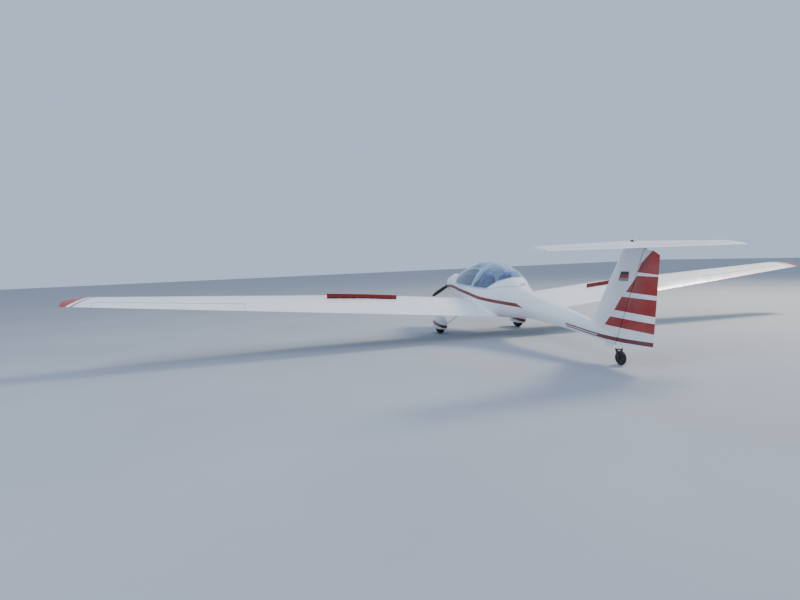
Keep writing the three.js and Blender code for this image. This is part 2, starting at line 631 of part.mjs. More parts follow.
// Wheels turn about Y
const WHEEL_SIDES = 28;
function tyreRing({ radius, width, rim }) {
  const half = width / 2;
  const profile = [
    [rim, -half * 0.62], [rim + 8, -half * 0.78], [rim + (radius - rim) * 0.45, -half],
    [radius - 26 * (radius / 180), -half * 0.9], [radius - 8 * (radius / 180), -half * 0.62],
    [radius, -half * 0.25], [radius, half * 0.25],
    [radius - 8 * (radius / 180), half * 0.62], [radius - 26 * (radius / 180), half * 0.9],
    [rim + (radius - rim) * 0.45, half], [rim + 8, half * 0.78], [rim, half * 0.62], [rim, -half * 0.62],
  ];
  return new THREE.LatheGeometry(profile.map(([r, along]) => new THREE.Vector2(r, along)), WHEEL_SIDES);
}
function rimDisc({ width, rim }, bore) {
  const half = width / 2;
  const edge = rim - GAP;
  const profile = [
    [bore, -half * 0.7], [bore + 14, -half * 0.7], [bore + 16, -half * 0.3], [edge - 12, -half * 0.3],
    [edge - 8, -half * 0.6], [edge, -half * 0.6], [edge, half * 0.6], [edge - 8, half * 0.6],
    [edge - 12, half * 0.3], [bore + 16, half * 0.3], [bore + 14, half * 0.7], [bore, half * 0.7],
    [bore, -half * 0.7],
  ];
  return new THREE.LatheGeometry(profile.map(([r, along]) => new THREE.Vector2(r, along)), WHEEL_SIDES);
}

// Main gear of the left side, in the ground frame with its origin at the tail wheel's foot
const MAIN_Y = TRACK / 2;
const AXLE_Z = MAIN_TYRE.radius;
const SPAT_HALF = 98;
// Columns: x from the axle, half width, top z, bottom z
const SPAT = [
  [-335, 16, 240, 185], [-275, 54, 302, 120], [-195, 84, 352, 60], [-60, 98, 398, 40],
  [85, SPAT_HALF, 398, 40], [175, 92, 358, 60], [232, 74, 308, 110], [268, 26, 255, 185],
];
function spatSlice(margin) {
  return solid(loft(SPAT.map(([x, halfWidth, top, bottom], row) => {
    const inset = row === 0 ? margin * 0.6 : row === SPAT.length - 1 ? -margin * 0.6 : 0;
    const [half, middle] = [(top - bottom) / 2 - margin, (top + bottom) / 2];
    return Array.from({ length: 20 }, (_, n) => {
      const turn = (2 * Math.PI * n) / 20 - Math.PI / 2;
      const [c, s] = [Math.cos(turn), Math.sin(turn)];
      const across = Math.max(halfWidth - margin, 3);
      return new THREE.Vector3(
        WHEELBASE + x + inset,
        MAIN_Y + Math.sign(c) * Math.abs(c) ** 0.75 * across,
        middle + Math.sign(s) * Math.abs(s) ** 0.75 * Math.max(half, 3),
      );
    });
  })));
}
const spatMouth = solid(box(WHEELBASE - 400, WHEELBASE + 400, MAIN_Y - 200, MAIN_Y + 200, 0, 112));
const axlePoint = (y) => new THREE.Vector3(WHEELBASE, y, AXLE_Z);
const AXLE_ROOT_Y = MAIN_Y - 118;
const axleHole = solid(bar(axlePoint(MAIN_Y - 150), axlePoint(MAIN_Y), AXLE_RADIUS + GAP));
const spatLeft = cut(spatSlice(0), spatSlice(8), spatMouth, axleHole);
const axleLeft = solid(bar(axlePoint(AXLE_ROOT_Y + GAP), axlePoint(MAIN_Y + 56), AXLE_RADIUS));

// Leg stations from the belly to the axle, in the airframe frame. Columns: x, y, z, chord, thickness
const LEG = [
  [4560, 230, 20, 110, 34], [4565, 330, -80, 108, 32], [4580, 520, -250, 96, 28],
  [4598, 700, -400, 84, 25], [4612, 820, -482, 76, 24], [4619, MAIN_Y - 118, -506, 76, 30],
];
function legLoft() {
  const middle = LEG.map(([x, y, z]) => new THREE.Vector3(x, y, z));
  return solid(loft(LEG.map(([, , , chord, thick], n) => {
    const along = new THREE.Vector3().subVectors(
      middle[Math.min(n + 1, middle.length - 1)], middle[Math.max(n - 1, 0)]).normalize();
    if (n === LEG.length - 1) along.set(0, 1, 0);
    const across = new THREE.Vector3(1, 0, 0);
    const normal = new THREE.Vector3().crossVectors(across, along).normalize();
    return Array.from({ length: 16 }, (_, k) => {
      const turn = (2 * Math.PI * k) / 16;
      return middle[n].clone()
        .addScaledVector(across, (chord / 2) * Math.cos(turn))
        .addScaledVector(normal, (thick / 2) * Math.sin(turn));
    });
  })));
}
const legLeft = legLoft().subtract(fuselageEnvelope);

// Tail wheel fork with its axle, in the ground frame, steering about a plumb spindle
const SPINDLE_X = 40;
const SPINDLE_RADIUS = 12;
const HOUSING = { low: 238, high: 258, radius: 26 };
const FORK_CROWN_Z = 232;
const forkSide = (y0, y1) => solid(sidePlate(
  [[-16, 92], [16, 92], [60, 214], [60, FORK_CROWN_Z], [14, FORK_CROWN_Z], [-16, 118]], y0, y1));
const spindlePoint = (z) => new THREE.Vector3(SPINDLE_X, 0, z);
const tailFork = join(
  forkSide(40, 46), forkSide(-46, -40),
  solid(box(14, 60, -46, 46, FORK_CROWN_Z - 10, FORK_CROWN_Z)),
  solid(bar(spindlePoint(FORK_CROWN_Z - 4), spindlePoint(HOUSING.high), SPINDLE_RADIUS)),
  solid(bar(new THREE.Vector3(0, -44, TAIL_TYRE.radius), new THREE.Vector3(0, 44, TAIL_TYRE.radius), 8)),
);

// Bracket under the boom's end that holds the spindle; its top follows the boom
const toGround = new THREE.Matrix4().makeRotationY(-PARKED_PITCH);
const boomOnGround = solid(shapeOf(boomEnvelope).applyMatrix4(toGround));
const tailBracket = cut(
  join(
    solid(bar(spindlePoint(HOUSING.low), spindlePoint(HOUSING.high), HOUSING.radius, HOUSING.radius, 20)),
    solid(box(SPINDLE_X, 330, -22, 22, HOUSING.low, HOUSING.high)),
    solid(box(170, 330, -22, 22, HOUSING.low, 340)),
  ),
  boomOnGround,
  solid(bar(spindlePoint(HOUSING.low - 5), spindlePoint(HOUSING.high + 5), SPINDLE_RADIUS + RUNNING_GAP)),
);

// Assembly
const part = new THREE.Group();
const ground = new THREE.Group();
ground.position.x = TAIL_WHEEL_X;
const airframe = new THREE.Group();
airframe.rotation.y = -PARKED_PITCH;
ground.add(airframe);
part.add(ground);

function place(group, name, shape, material, position = [0, 0, 0]) {
  const geometry = shape.isBufferGeometry ? closed(shape) : shapeOf(shape);
  const mesh = new THREE.Mesh(geometry, material);
  mesh.name = name;
  mesh.position.set(...position);
  group.add(mesh);
  return mesh;
}
function placePair(group, name, shape, material, position = [0, 0, 0]) {
  const geometry = shape.isBufferGeometry ? shape : shapeOf(shape);
  const [x, y, z] = position;
  place(group, `${name}_left`, geometry, material(), position);
  place(group, `${name}_right`, mirrored(geometry), material(), [x, -y, z]);
}

place(airframe, 'fuselage_shell', fuselageShell, gelcoat());
place(airframe, 'tail_boom', tailBoom, gelcoat());
place(airframe, 'fin', fin, gelcoat());
place(airframe, 'rudder', rudder, gelcoat());
place(airframe, 'tailplane', tailplane, gelcoat());
place(airframe, 'elevator', elevator, gelcoat());
place(airframe, 'cowl_upper', cowlUpper, gelcoat());
place(airframe, 'cowl_lower', cowlLower, gelcoat());
place(airframe, 'firewall', firewall, steel());
place(airframe, 'engine_block', engineBlock, aluminium());
place(airframe, 'exhaust_pipe', exhaustPipe, steel());
place(airframe, 'rear_bulkhead', rearBulkhead, trim());
place(airframe, 'cabin_floor', cabinFloor, trim());
place(airframe, 'instrument_panel', instrumentPanel, trim());
place(airframe, 'centre_console', centreConsole, trim());
place(airframe, 'canopy_frame', canopyFrame, gelcoat());
place(airframe, 'canopy_glass_front', glassSkin.intersect(frontPane(GAP)), acrylic());
place(airframe, 'canopy_glass_rear', glassSkin.intersect(rearPane(GAP)), acrylic());
placePair(airframe, 'seat', seat(1), fabric);
placePair(airframe, 'control_stick', controlStick(1), darkPaint);
placePair(airframe, 'wing', wingLeft, gelcoat);
placePair(airframe, 'aileron', aileron, gelcoat);
placePair(airframe, 'airbrake', airbrake, redPaint);
placePair(airframe, 'gear_leg', legLeft, gelcoat);
placePair(ground, 'spat', spatLeft, gelcoat);
placePair(ground, 'main_axle', axleLeft, steel);
placePair(ground, 'main_tyre', tyreRing(MAIN_TYRE), rubber, [WHEELBASE, MAIN_Y, AXLE_Z]);
placePair(ground, 'main_rim', rimDisc(MAIN_TYRE, AXLE_RADIUS + 0.5), aluminium, [WHEELBASE, MAIN_Y, AXLE_Z]);
place(ground, 'tail_bracket', tailBracket, steel());
place(ground, 'tail_fork', tailFork, steel());
place(ground, 'tail_tyre', tyreRing(TAIL_TYRE), rubber(), [0, 0, TAIL_TYRE.radius]);
place(ground, 'tail_rim', rimDisc(TAIL_TYRE, 8.5), aluminium(), [0, 0, TAIL_TYRE.radius]);

const nose = new THREE.Group();
nose.position.set(PROP_X, 0, PROP_Z);
nose.rotation.x = -Math.PI / 2 - PROP_REST_ANGLE;
airframe.add(nose);
place(nose, 'propeller', propeller, darkPaint());
place(nose, 'spinner', spinner, gelcoat());

export default part;
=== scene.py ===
# %% [markdown]
# # A two-seat motor glider
# This lesson dresses a finished construction model of a low-wing motor glider. The construction says where
# every piece is; here each piece gets its fine surface and its finish. The aircraft is a glass-fibre shell
# polished to a gloss, so most of the work is smooth lofted skins and crisp paint lines.

# %% Load the fixed frame
import math

import bmesh
import bpy
from mathutils import Matrix, Vector


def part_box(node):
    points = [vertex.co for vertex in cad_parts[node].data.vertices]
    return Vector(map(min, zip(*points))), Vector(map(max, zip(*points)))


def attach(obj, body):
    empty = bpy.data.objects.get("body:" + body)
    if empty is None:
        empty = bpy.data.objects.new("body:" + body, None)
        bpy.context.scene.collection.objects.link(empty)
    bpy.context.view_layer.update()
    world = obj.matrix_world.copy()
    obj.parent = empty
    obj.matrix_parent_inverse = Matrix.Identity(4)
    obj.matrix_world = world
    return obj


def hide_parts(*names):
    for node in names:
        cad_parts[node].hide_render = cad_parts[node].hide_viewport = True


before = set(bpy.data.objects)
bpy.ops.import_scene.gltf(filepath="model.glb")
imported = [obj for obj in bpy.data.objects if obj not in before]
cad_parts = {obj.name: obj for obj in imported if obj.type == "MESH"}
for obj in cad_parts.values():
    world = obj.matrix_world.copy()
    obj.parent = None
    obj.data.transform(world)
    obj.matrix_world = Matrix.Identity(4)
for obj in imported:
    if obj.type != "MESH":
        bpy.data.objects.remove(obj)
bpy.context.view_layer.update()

# %% [markdown]
# The drawings of the airframe are made level in flight, in millimetres, with the origin under the tail
# wheel. On the ground the aircraft sits nose up. Two matrices take a drawing to its place: one for what is
# drawn level in flight, and one for the wheels, which are drawn on the floor.

# %% Drawing frames
MM = 0.001
PARKED_PITCH = math.radians(8.5)
tail_low, tail_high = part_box("tail_tyre")
TAIL_X = (tail_low.x + tail_high.x) / 2
ON_GROUND = Matrix.Translation((TAIL_X, 0, 0)) @ Matrix.Scale(MM, 4)
IN_FLIGHT = ON_GROUND @ Matrix.Rotation(-PARKED_PITCH, 4, "Y")
print("tail wheel stands at x =", round(TAIL_X, 3))

# %% [markdown]
# The camera stands low behind the left wing tip, at a person's eye height, with a wide lens. Its place is
# tied to the tail wheel, and its turn comes from three angles: to the right, down and a slight roll.

# %% Camera
LENS_MM = 24.41
SENSOR_MM = 36
CAMERA_FROM_TAIL_WHEEL = Vector((-6.5559, 5.4988, 1.6913))
CAMERA_YAW, CAMERA_PITCH, CAMERA_ROLL = 0.3110, 0.0759, -0.0383


def linked(name, data):
    """An object in the scene for a mesh, a camera or a lamp."""
    made = bpy.data.objects.new(name, data)
    bpy.context.scene.collection.objects.link(made)
    return made


def camera_turn(yaw, pitch, roll):
    """Columns of a camera's turn: its right, its up and its back."""
    ahead = Vector((math.cos(yaw) * math.cos(pitch), -math.sin(yaw) * math.cos(pitch), -math.sin(pitch)))
    right = Vector((-math.sin(yaw), -math.cos(yaw), 0))
    up = right.cross(ahead)
    rolled_right = right * math.cos(roll) + up * math.sin(roll)
    rolled_up = up * math.cos(roll) - right * math.sin(roll)
    return Matrix((rolled_right, rolled_up, -ahead)).transposed()


camera_data = bpy.data.cameras.new("camera")
camera_data.lens = LENS_MM
camera_data.sensor_width = SENSOR_MM
camera_data.clip_end = 200
camera = linked("camera", camera_data)
place = Vector((TAIL_X, 0, 0)) + CAMERA_FROM_TAIL_WHEEL
camera.matrix_world = Matrix.Translation(place) @ camera_turn(CAMERA_YAW, CAMERA_PITCH, CAMERA_ROLL).to_4x4()
bpy.context.scene.camera = camera
print("camera at", [round(v, 3) for v in place])

# %% [markdown]
# Materials are small node trees. One helper adds a node with its settings and links, and one turns the hex
# colours that painters use into the linear values that the renderer wants. Patterns are sized in real
# millimetres.

# %% Node and colour helpers


def linear(hex_colour):
    """An sRGB hex colour as linear red, green, blue and alpha."""
    values = [int(hex_colour[n:n + 2], 16) / 255 for n in (0, 2, 4)]
    return [v / 12.92 if v <= 0.04045 else ((v + 0.055) / 1.055) ** 2.4 for v in values] + [1]


def per_metre(millimetres):
    """The texture scale at which one feature is that many millimetres across."""
    return 1000 / millimetres


def add(tree, kind, inputs=None, **settings):
    """Adds a node, applies its settings, then fills or links its inputs."""
    made = tree.nodes.new(kind)
    for name, value in settings.items():
        setattr(made, name, value)
    for socket, value in (inputs or {}).items():
        if isinstance(value, bpy.types.NodeSocket):
            tree.links.new(value, made.inputs[socket])
        else:
            made.inputs[socket].default_value = value
    return made


def new_material(name, **fixed):
    """A principled material with fixed values on its shader, and the coordinates that its patterns use."""
    material = bpy.data.materials.new(name)
    material.use_nodes = True
    shader = material.node_tree.nodes["Principled BSDF"]
    for socket, value in fixed.items():
        shader.inputs[socket.replace("_", " ")].default_value = value
    tree = material.node_tree
    return material, tree, shader, add(tree, "ShaderNodeTexCoord").outputs["Object"]


def calc(tree, operation, *values):
    """A maths node on one to three values or sockets."""
    return add(tree, "ShaderNodeMath", dict(enumerate(values)), operation=operation).outputs[0]


def both(tree, first, second):
    """1 where two masks are both 1."""
    return calc(tree, "MULTIPLY", first, second)


def mixed(tree, share, first, second):
    """A colour between two colours or sockets."""
    return add(tree, "ShaderNodeMix", {0: share, 6: first, 7: second}, data_type="RGBA").outputs[2]


def cloud(tree, where, size_mm, low, high, detail=4):
    """A soft noise of the given feature size, stretched to run from low to high."""
    noise = add(tree, "ShaderNodeTexNoise", {"Vector": where, "Scale": per_metre(size_mm), "Detail": detail})
    spread = {"Value": noise.outputs[0], "From Min": 0.3, "From Max": 0.7, "To Min": low, "To Max": high}
    return add(tree, "ShaderNodeMapRange", spread).outputs[0]


def relief(tree, height, depth_mm):
    """A bump whose full height is the given depth."""
    settings = {"Height": height, "Distance": depth_mm * MM, "Strength": 1}
    return add(tree, "ShaderNodeBump", settings).outputs[0]


# %% [markdown]
# Paint lines on the aircraft are drawn on its side view and run through to both sides. A stripe is an area
# with straight edges: a point is inside when it lies on the inner side of every edge. The curved line along
# the cabin follows a height curve instead.

# %% Paint outlines


def inside(tree, where, corners):
    """1 within a convex outline given as (x, z) corners on the ground side view, in metres, and 0 outside."""
    middle = Vector((sum(x for x, _ in corners), sum(z for _, z in corners))) / len(corners)
    within = None
    for start, end in zip(corners, corners[1:] + corners[:1]):
        first, second = Vector(start), Vector(end)
        normal = Vector((second.y - first.y, first.x - second.x)).normalized()
        if (middle - first).dot(normal) < 0:
            normal = -normal
        reach = normal.dot(first) + normal.x * TAIL_X
        pair = {0: where, 1: (normal.x, 0, normal.y)}
        along = add(tree, "ShaderNodeVectorMath", pair, operation="DOT_PRODUCT").outputs["Value"]
        passed = calc(tree, "GREATER_THAN", along, reach)
        within = passed if within is None else both(tree, within, passed)
    return within


def near_curve(tree, where, points, half_width):
    """1 within half a width of a curve given as (x, z) points on the ground side view, in metres."""
    parts = add(tree, "ShaderNodeSeparateXYZ", {0: where})
    x0, x1 = points[0][0] + TAIL_X, points[-1][0] + TAIL_X
    share = add(tree, "ShaderNodeMapRange", {"Value": parts.outputs[0], "From Min": x0, "From Max": x1})
    curve = add(tree, "ShaderNodeFloatCurve", {"Value": share.outputs[0]})
    line = curve.mapping.curves[0]
    for x, z in points[1:-1]:
        line.points.new((x - points[0][0]) / (points[-1][0] - points[0][0]), z)
    line.points[0].location = (0, points[0][1])
    line.points[-1].location = (1, points[-1][1])
    curve.mapping.update()
    off = calc(tree, "SUBTRACT", parts.outputs[2], curve.outputs[0])
    return calc(tree, "LESS_THAN", calc(tree, "ABSOLUTE", off), half_width)


# %% [markdown]
# ## White gelcoat
# A glider's skin is polyester gelcoat over glass fibre, sanded and polished until it mirrors. It gives the
# eye a clean white with sharp highlights, a very slight waviness from the cloth and foam underneath, and a
# thin film of dust. Its index of refraction is about 1.5. The weave of the cloth is too fine to see, so
# only the long waves are drawn.

# %% Gelcoat and its paint
WHITE = "eff1f2"
AGED_WHITE = "e3e6e6"
DUST = "b9b4a8"
SIGNAL_RED = "98170f"
DEEP_RED = "681215"
MATT_BLACK = "17181a"
PRINT_THROUGH_MM = 130
DUST_PATCH_MM = 420


def gelcoat(name, paint=None):
    """Polished gelcoat. paint(tree, where, colour) returns the colour with the stripes of that piece."""
    material, tree, shader, where = new_material(name, IOR=1.5, Coat_Weight=0.25, Coat_Roughness=0.04)
    ageing = cloud(tree, where, 900, 0, 0.7)
    colour = mixed(tree, ageing, linear(WHITE), linear(AGED_WHITE))
    if paint:
        colour = paint(tree, where, colour)
    dust = cloud(tree, where, DUST_PATCH_MM, 0, 0.10, detail=8)
    colour = mixed(tree, dust, colour, linear(DUST))
    tree.links.new(colour, shader.inputs["Base Color"])
    tree.links.new(cloud(tree, where, 250, 0.16, 0.30), shader.inputs["Roughness"])
    waves = cloud(tree, where, PRINT_THROUGH_MM, 0, 1, detail=1)
    tree.links.new(relief(tree, waves, 0.35), shader.inputs["Normal"])
    return material


TAIL_BANDS = (
    ((-0.798, 1.80), (-0.641, 1.664), (-0.450, 1.499), (-0.385, 1.378), (-0.90, 1.327), (-0.90, 1.80)),
    ((-0.376, 1.328), (-0.162, 1.092), (-0.90, 1.046), (-0.90, 1.316)),
    ((-0.079, 1.023), (0.080, 0.817), (-0.90, 0.757), (-0.90, 0.990)),
    ((0.167, 0.715), (0.292, 0.580), (-0.90, 0.517), (-0.90, 0.664)),
)
BOOM_LINE = ((-0.80, 0.388), (-0.30, 0.380), (-0.016, 0.381), (0.455, 0.406), (0.85, 0.451), (1.283, 0.503))
BOOM_LINE_HALF = 0.031
BOOM_LINE_SPLIT = (0.42, 1.30)
PATCH = ((-0.062, 1.386), (-0.229, 1.384), (-0.214, 1.228), (-0.002, 1.248))
PATCH_BANDS = (MATT_BLACK, SIGNAL_RED, "8d8a84")


def boom_stripe(tree, where, colour):
    """One thick dark red line from the tail forward, which parts into two thin ones on the boom."""
    broad = near_curve(tree, where, BOOM_LINE, BOOM_LINE_HALF)
    middle = near_curve(tree, where, BOOM_LINE, BOOM_LINE_HALF * 0.24)
    start, end = BOOM_LINE_SPLIT
    split = inside(tree, where, ((start, 0.3), (start + 0.06, 0.6), (end, 0.6), (end - 0.02, 0.3)))
    whole = inside(tree, where, ((-0.9, 0.3), (-0.9, 0.5), (1.19, 0.62), (1.17, 0.3)))
    gap = both(tree, split, middle)
    paint = calc(tree, "SUBTRACT", broad, gap)
    return mixed(tree, both(tree, paint, whole), colour, linear(DEEP_RED))


def tail_paint(tree, where, colour):
    """Red bands that end on one slanted line, the boom's stripe, and a small tricolour patch."""
    for corners in TAIL_BANDS[1:]:
        colour = mixed(tree, inside(tree, where, corners), colour, linear(SIGNAL_RED))
    left, right = PATCH[0][0], PATCH[1][0]
    top, bottom = PATCH[0][1], PATCH[3][1]
    for n, band in enumerate(PATCH_BANDS):
        share = [(n + k) / len(PATCH_BANDS) for k in (0, 1)]
        z0, z1 = [top + (bottom - top) * s for s in share]
        x0, x1 = [left + (PATCH[3][0] - left) * s for s in share]
        y0, y1 = [right + (PATCH[2][0] - right) * s for s in share]
        corners = ((x0, z0), (y0, z0), (y1, z1), (x1, z1))
        colour = mixed(tree, inside(tree, where, corners), colour, linear(band))
    return boom_stripe(tree, where, colour)


def rudder_paint(tree, where, colour):
    """The same bands as on the fin, with the topmost one, which the rudder alone has."""
    colour = mixed(tree, inside(tree, where, TAIL_BANDS[0]), colour, linear(SIGNAL_RED))
    return tail_paint(tree, where, colour)


CABIN_LINE = (
    (2.33, 0.697), (2.527, 0.719), (2.774, 0.737), (3.015, 0.760), (3.273, 0.791), (3.609, 0.825),
    (4.043, 0.888), (4.618, 0.951), (5.167, 1.006), (5.70, 1.062), (6.05, 1.10),
)


def cabin_stripe(tree, where, colour):
    """A dark red line with bright red edges, which runs back from the nose to a point behind the cabin."""
    extent = inside(tree, where, ((2.395, 0.672), (2.60, 0.76), (6.2, 1.5), (6.2, 0.6)))
    edges = both(tree, near_curve(tree, where, CABIN_LINE, 0.036), extent)
    heart = both(tree, near_curve(tree, where, CABIN_LINE, 0.022), extent)
    colour = mixed(tree, edges, colour, linear(SIGNAL_RED))
    return mixed(tree, heart, colour, linear(DEEP_RED))


TIP_SLANT = 0.608
TIP_RED_FROM = 7.891
TIP_LINE = (7.800, 7.826)
TIP_LINE_X = 3.22


def tip_paint(tree, where, colour):
    """A red wing tip, a white band and one thin dark red line, all slanted, on both wings alike."""
    parts = add(tree, "ShaderNodeSeparateXYZ", {0: where})
    side = calc(tree, "ABSOLUTE", parts.outputs[1])
    slanted = calc(tree, "MULTIPLY_ADD", parts.outputs[0], TIP_SLANT, side)
    shift = TIP_SLANT * (TIP_LINE_X + TAIL_X)
    red = calc(tree, "GREATER_THAN", slanted, TIP_RED_FROM + shift)
    inner = calc(tree, "GREATER_THAN", slanted, TIP_LINE[0] + shift)
    outer = calc(tree, "LESS_THAN", slanted, TIP_LINE[1] + shift)
    colour = mixed(tree, both(tree, inner, outer), colour, linear(DEEP_RED))
    return mixed(tree, red, colour, linear(SIGNAL_RED))


def spat_paint(tree, where, colour):
    """A dark red band with brighter edges round the foot of the wheel cover, rising towards the front."""
    edges = inside(tree, where, ((4.2, 0.184), (5.0, 0.328), (5.0, 0.262), (4.2, 0.118)))
    heart = inside(tree, where, ((4.2, 0.175), (5.0, 0.319), (5.0, 0.271), (4.2, 0.127)))
    colour = mixed(tree, edges, colour, linear(SIGNAL_RED))
    return mixed(tree, heart, colour, linear(DEEP_RED))


plain_gelcoat = gelcoat("white_gelcoat")
fuselage_gelcoat = gelcoat("white_gelcoat_with_cabin_line", cabin_stripe)
boom_gelcoat = gelcoat("white_gelcoat_with_boom_line", boom_stripe)
fin_gelcoat = gelcoat("white_gelcoat_with_fin_bands", tail_paint)
rudder_gelcoat = gelcoat("white_gelcoat_with_rudder_bands", rudder_paint)
wing_gelcoat = gelcoat("white_gelcoat_with_red_tips", tip_paint)
spat_gelcoat = gelcoat("white_gelcoat_with_spat_band", spat_paint)
print("gelcoat finishes:", [m.name for m in bpy.data.materials if "gelcoat" in m.name])

# %% [markdown]
# ## The other finishes
# Each one starts from a real material. Lacquers and plastics keep an index of refraction near 1.5, and bare
# metals are fully metallic with their own grey. What tells them apart is the roughness and the scale of
# their relief: rolling marks on sheet, casting grain on a wheel, the pores of rubber and the threads of a
# cloth.

# %% Lacquer, metal, rubber, plastic and cloth


def simple_finish(name, base, worn, rough, grain_mm, depth_mm, wear_mm=60, **fixed):
    """A finish of two close colours in patches, uneven gloss and a fine relief."""
    material, tree, shader, where = new_material(name, **fixed)
    patches = cloud(tree, where, wear_mm, 0, 1, detail=6)
    tree.links.new(mixed(tree, patches, linear(base), linear(worn)), shader.inputs["Base Color"])
    tree.links.new(cloud(tree, where, wear_mm * 0.7, *rough), shader.inputs["Roughness"])
    grain = cloud(tree, where, grain_mm, 0, 1, detail=2)
    tree.links.new(relief(tree, grain, depth_mm), shader.inputs["Normal"])
    return material


# Two-pack lacquer sprayed on the plates: an even gloss, a little orange peel
red_lacquer = simple_finish("red_two_pack_lacquer", "8c160d", "7a130d", (0.26, 0.4), 4, 0.03, IOR=1.5)
# Black lacquer on a wood and glass-fibre blade, dulled by grit
blade_lacquer = simple_finish("black_blade_lacquer", "121314", "26282a", (0.25, 0.45), 5, 0.03, IOR=1.5)
# Mild steel with a thin satin plating: dark reflections, soft edges
satin_steel = simple_finish("satin_plated_steel", "7d8084", "5d6064", (0.32, 0.5), 1.5, 0.02, 30, Metallic=1)
# Steel tube painted black by brush, chipped to grey
black_steel = simple_finish("black_painted_steel", "1b1c1e", "3a3b3d", (0.4, 0.6), 3, 0.05, 25)
# Sand-cast aluminium wheel: pale grey with a fine grain
cast_aluminium = simple_finish("cast_aluminium", "b4b7ba", "96999c", (0.34, 0.52), 1.2, 0.06, 40, Metallic=1)
# Exhaust steel after many heat cycles: brown and blue grey
burnt_steel = simple_finish("heat_tinted_steel", "6e5f55", "4a4d57", (0.38, 0.6), 2, 0.04, 45, Metallic=1)
# Vulcanised rubber, dusty in its pores
tyre_rubber = simple_finish("vulcanised_rubber", "191a1b", "35342f", (0.7, 0.92), 1.4, 0.12, 35)
# Grained plastic sheet round the instruments
grained_plastic = simple_finish("grained_black_plastic", "1e2023", "2a2c30", (0.5, 0.7), 1.1, 0.08, 90,
                                IOR=1.49)
# Needled carpet on the cabin floor
needled_carpet = simple_finish("needled_grey_carpet", "3a3d42", "2c2e33", (0.85, 0.98), 2.2, 0.9, 50)
# Painted plywood bulkhead
painted_plywood = simple_finish("grey_painted_plywood", "8e9194", "7c7f82", (0.45, 0.62), 6, 0.05, 120)
# White gauge marks and light plastics
ivory_plastic = simple_finish("ivory_moulded_plastic", "d9d8d0", "c9c8c0", (0.3, 0.45), 2, 0.03, 30)
# Pressed felt glued inside the cabin walls
cabin_felt = simple_finish("pressed_grey_felt", "a3a7ac", "8f9398", (0.85, 0.98), 3, 0.5, 80)
# Red plastic lens of the beacon
red_lens = simple_finish("red_moulded_lens", "5a1216", "3c0d10", (0.12, 0.2), 6, 0.02, 30, IOR=1.49)

THREAD_MM = 2.4


def upholstery(name, base, dark):
    """Plain woven cloth. Real threads are 0.6 mm; they are drawn four times as wide, so that they show."""
    material, tree, shader, where = new_material(name, Sheen_Weight=0.35, Sheen_Roughness=0.5, Roughness=0.88)
    heights = []
    for turn in ((0, 0, 0), (0, 0, math.pi / 2)):
        turned = add(tree, "ShaderNodeMapping", {"Vector": where, "Rotation": turn}).outputs[0]
        size = per_metre(THREAD_MM) / 2
        wave = add(tree, "ShaderNodeTexWave", {"Vector": turned, "Scale": size, "Distortion": 0.6})
        heights.append(wave.outputs["Fac"])
    woven = calc(tree, "MAXIMUM", *heights)
    faded = cloud(tree, where, 160, 0, 0.5)
    colour = mixed(tree, woven, linear(dark), linear(base))
    colour = mixed(tree, faded, colour, linear(dark))
    tree.links.new(colour, shader.inputs["Base Color"])
    tree.links.new(relief(tree, woven, 0.5), shader.inputs["Normal"])
    return material


blue_cloth = upholstery("woven_blue_upholstery", "3454a4", "1c2f66")
# The tubs' cover is the blue cloth darkened to navy: the cover is real, its darkness is painted shade for the
# seat backs.
seat_cover_darkened_as_painted_shade = upholstery("woven_seat_cover_with_painted_shade", "26335c", "151d38")


def blown_acrylic(name):
    """Clear blown acrylic with a film of dust that makes it milky. Shadow rays pass with a tint."""
    fixed = {"IOR": 1.49, "Transmission_Weight": 0.94, "Roughness": 0.02}
    material, tree, shader, where = new_material(name, **fixed)
    haze = cloud(tree, where, 300, 0, 1)
    tree.links.new(mixed(tree, haze, linear("d6e6f8"), linear("c6daf0")), shader.inputs["Base Color"])
    tree.links.new(relief(tree, cloud(tree, where, 180, 0, 1, detail=0), 0.2), shader.inputs["Normal"])
    clear = add(tree, "ShaderNodeBsdfTransparent", {"Color": linear("dce8f2")})
    path = add(tree, "ShaderNodeLightPath")
    both_ways = {0: path.outputs["Is Shadow Ray"], 1: shader.outputs[0], 2: clear.outputs[0]}
    seen = add(tree, "ShaderNodeMixShader", both_ways)
    tree.links.new(seen.outputs[0], tree.nodes["Material Output"].inputs["Surface"])
    return material


canopy_acrylic = blown_acrylic("blown_acrylic")
print("finishes in all:", len(bpy.data.materials))

# %% [markdown]
# ## Mesh helpers
# A skin is lofted: a row of rings with equally many points, joined by faces, with both ends closed.
# Openings and gaps are cut with the boolean modifier, the way a moulded shell is sawn open after it leaves
# its mould. At the end a piece is taken to its place, smoothed where faces meet at a small angle, and hung
# on its body.

# %% Lofts, cuts and placing
SMOOTH_ANGLE = math.radians(32)


def circle(count, first=0.0):
    """The cosines and sines of evenly spread turns."""
    turns = [2 * math.pi * n / count + first for n in range(count)]
    return [(math.cos(turn), math.sin(turn)) for turn in turns]


def bent(value, power):
    """A power that keeps the sign: it swells a circle towards a rounded square."""
    return math.copysign(abs(value) ** power, value)


def shape(points, faces):
    """A mesh object from points in drawing millimetres and faces, with its faces turned outwards."""
    mesh = bpy.data.meshes.new("shape")
    mesh.from_pydata([tuple(p) for p in points], [], faces)
    work = bmesh.new()
    work.from_mesh(mesh)
    bmesh.ops.remove_doubles(work, verts=work.verts, dist=1e-4)
    bmesh.ops.recalc_face_normals(work, faces=work.faces)
    work.to_mesh(mesh)
    work.free()
    return linked("shape", mesh)


def loft(rings):
    """A closed body through rings of equally many points."""
    count = len(rings[0])
    faces = [list(range(count)), [n + (len(rings) - 1) * count for n in range(count)]]
    for r in range(len(rings) - 1):
        for n in range(count):
            m = (n + 1) % count
            faces.append([r * count + n, r * count + m, (r + 1) * count + m, (r + 1) * count + n])
    return shape([p for ring in rings for p in ring], faces)


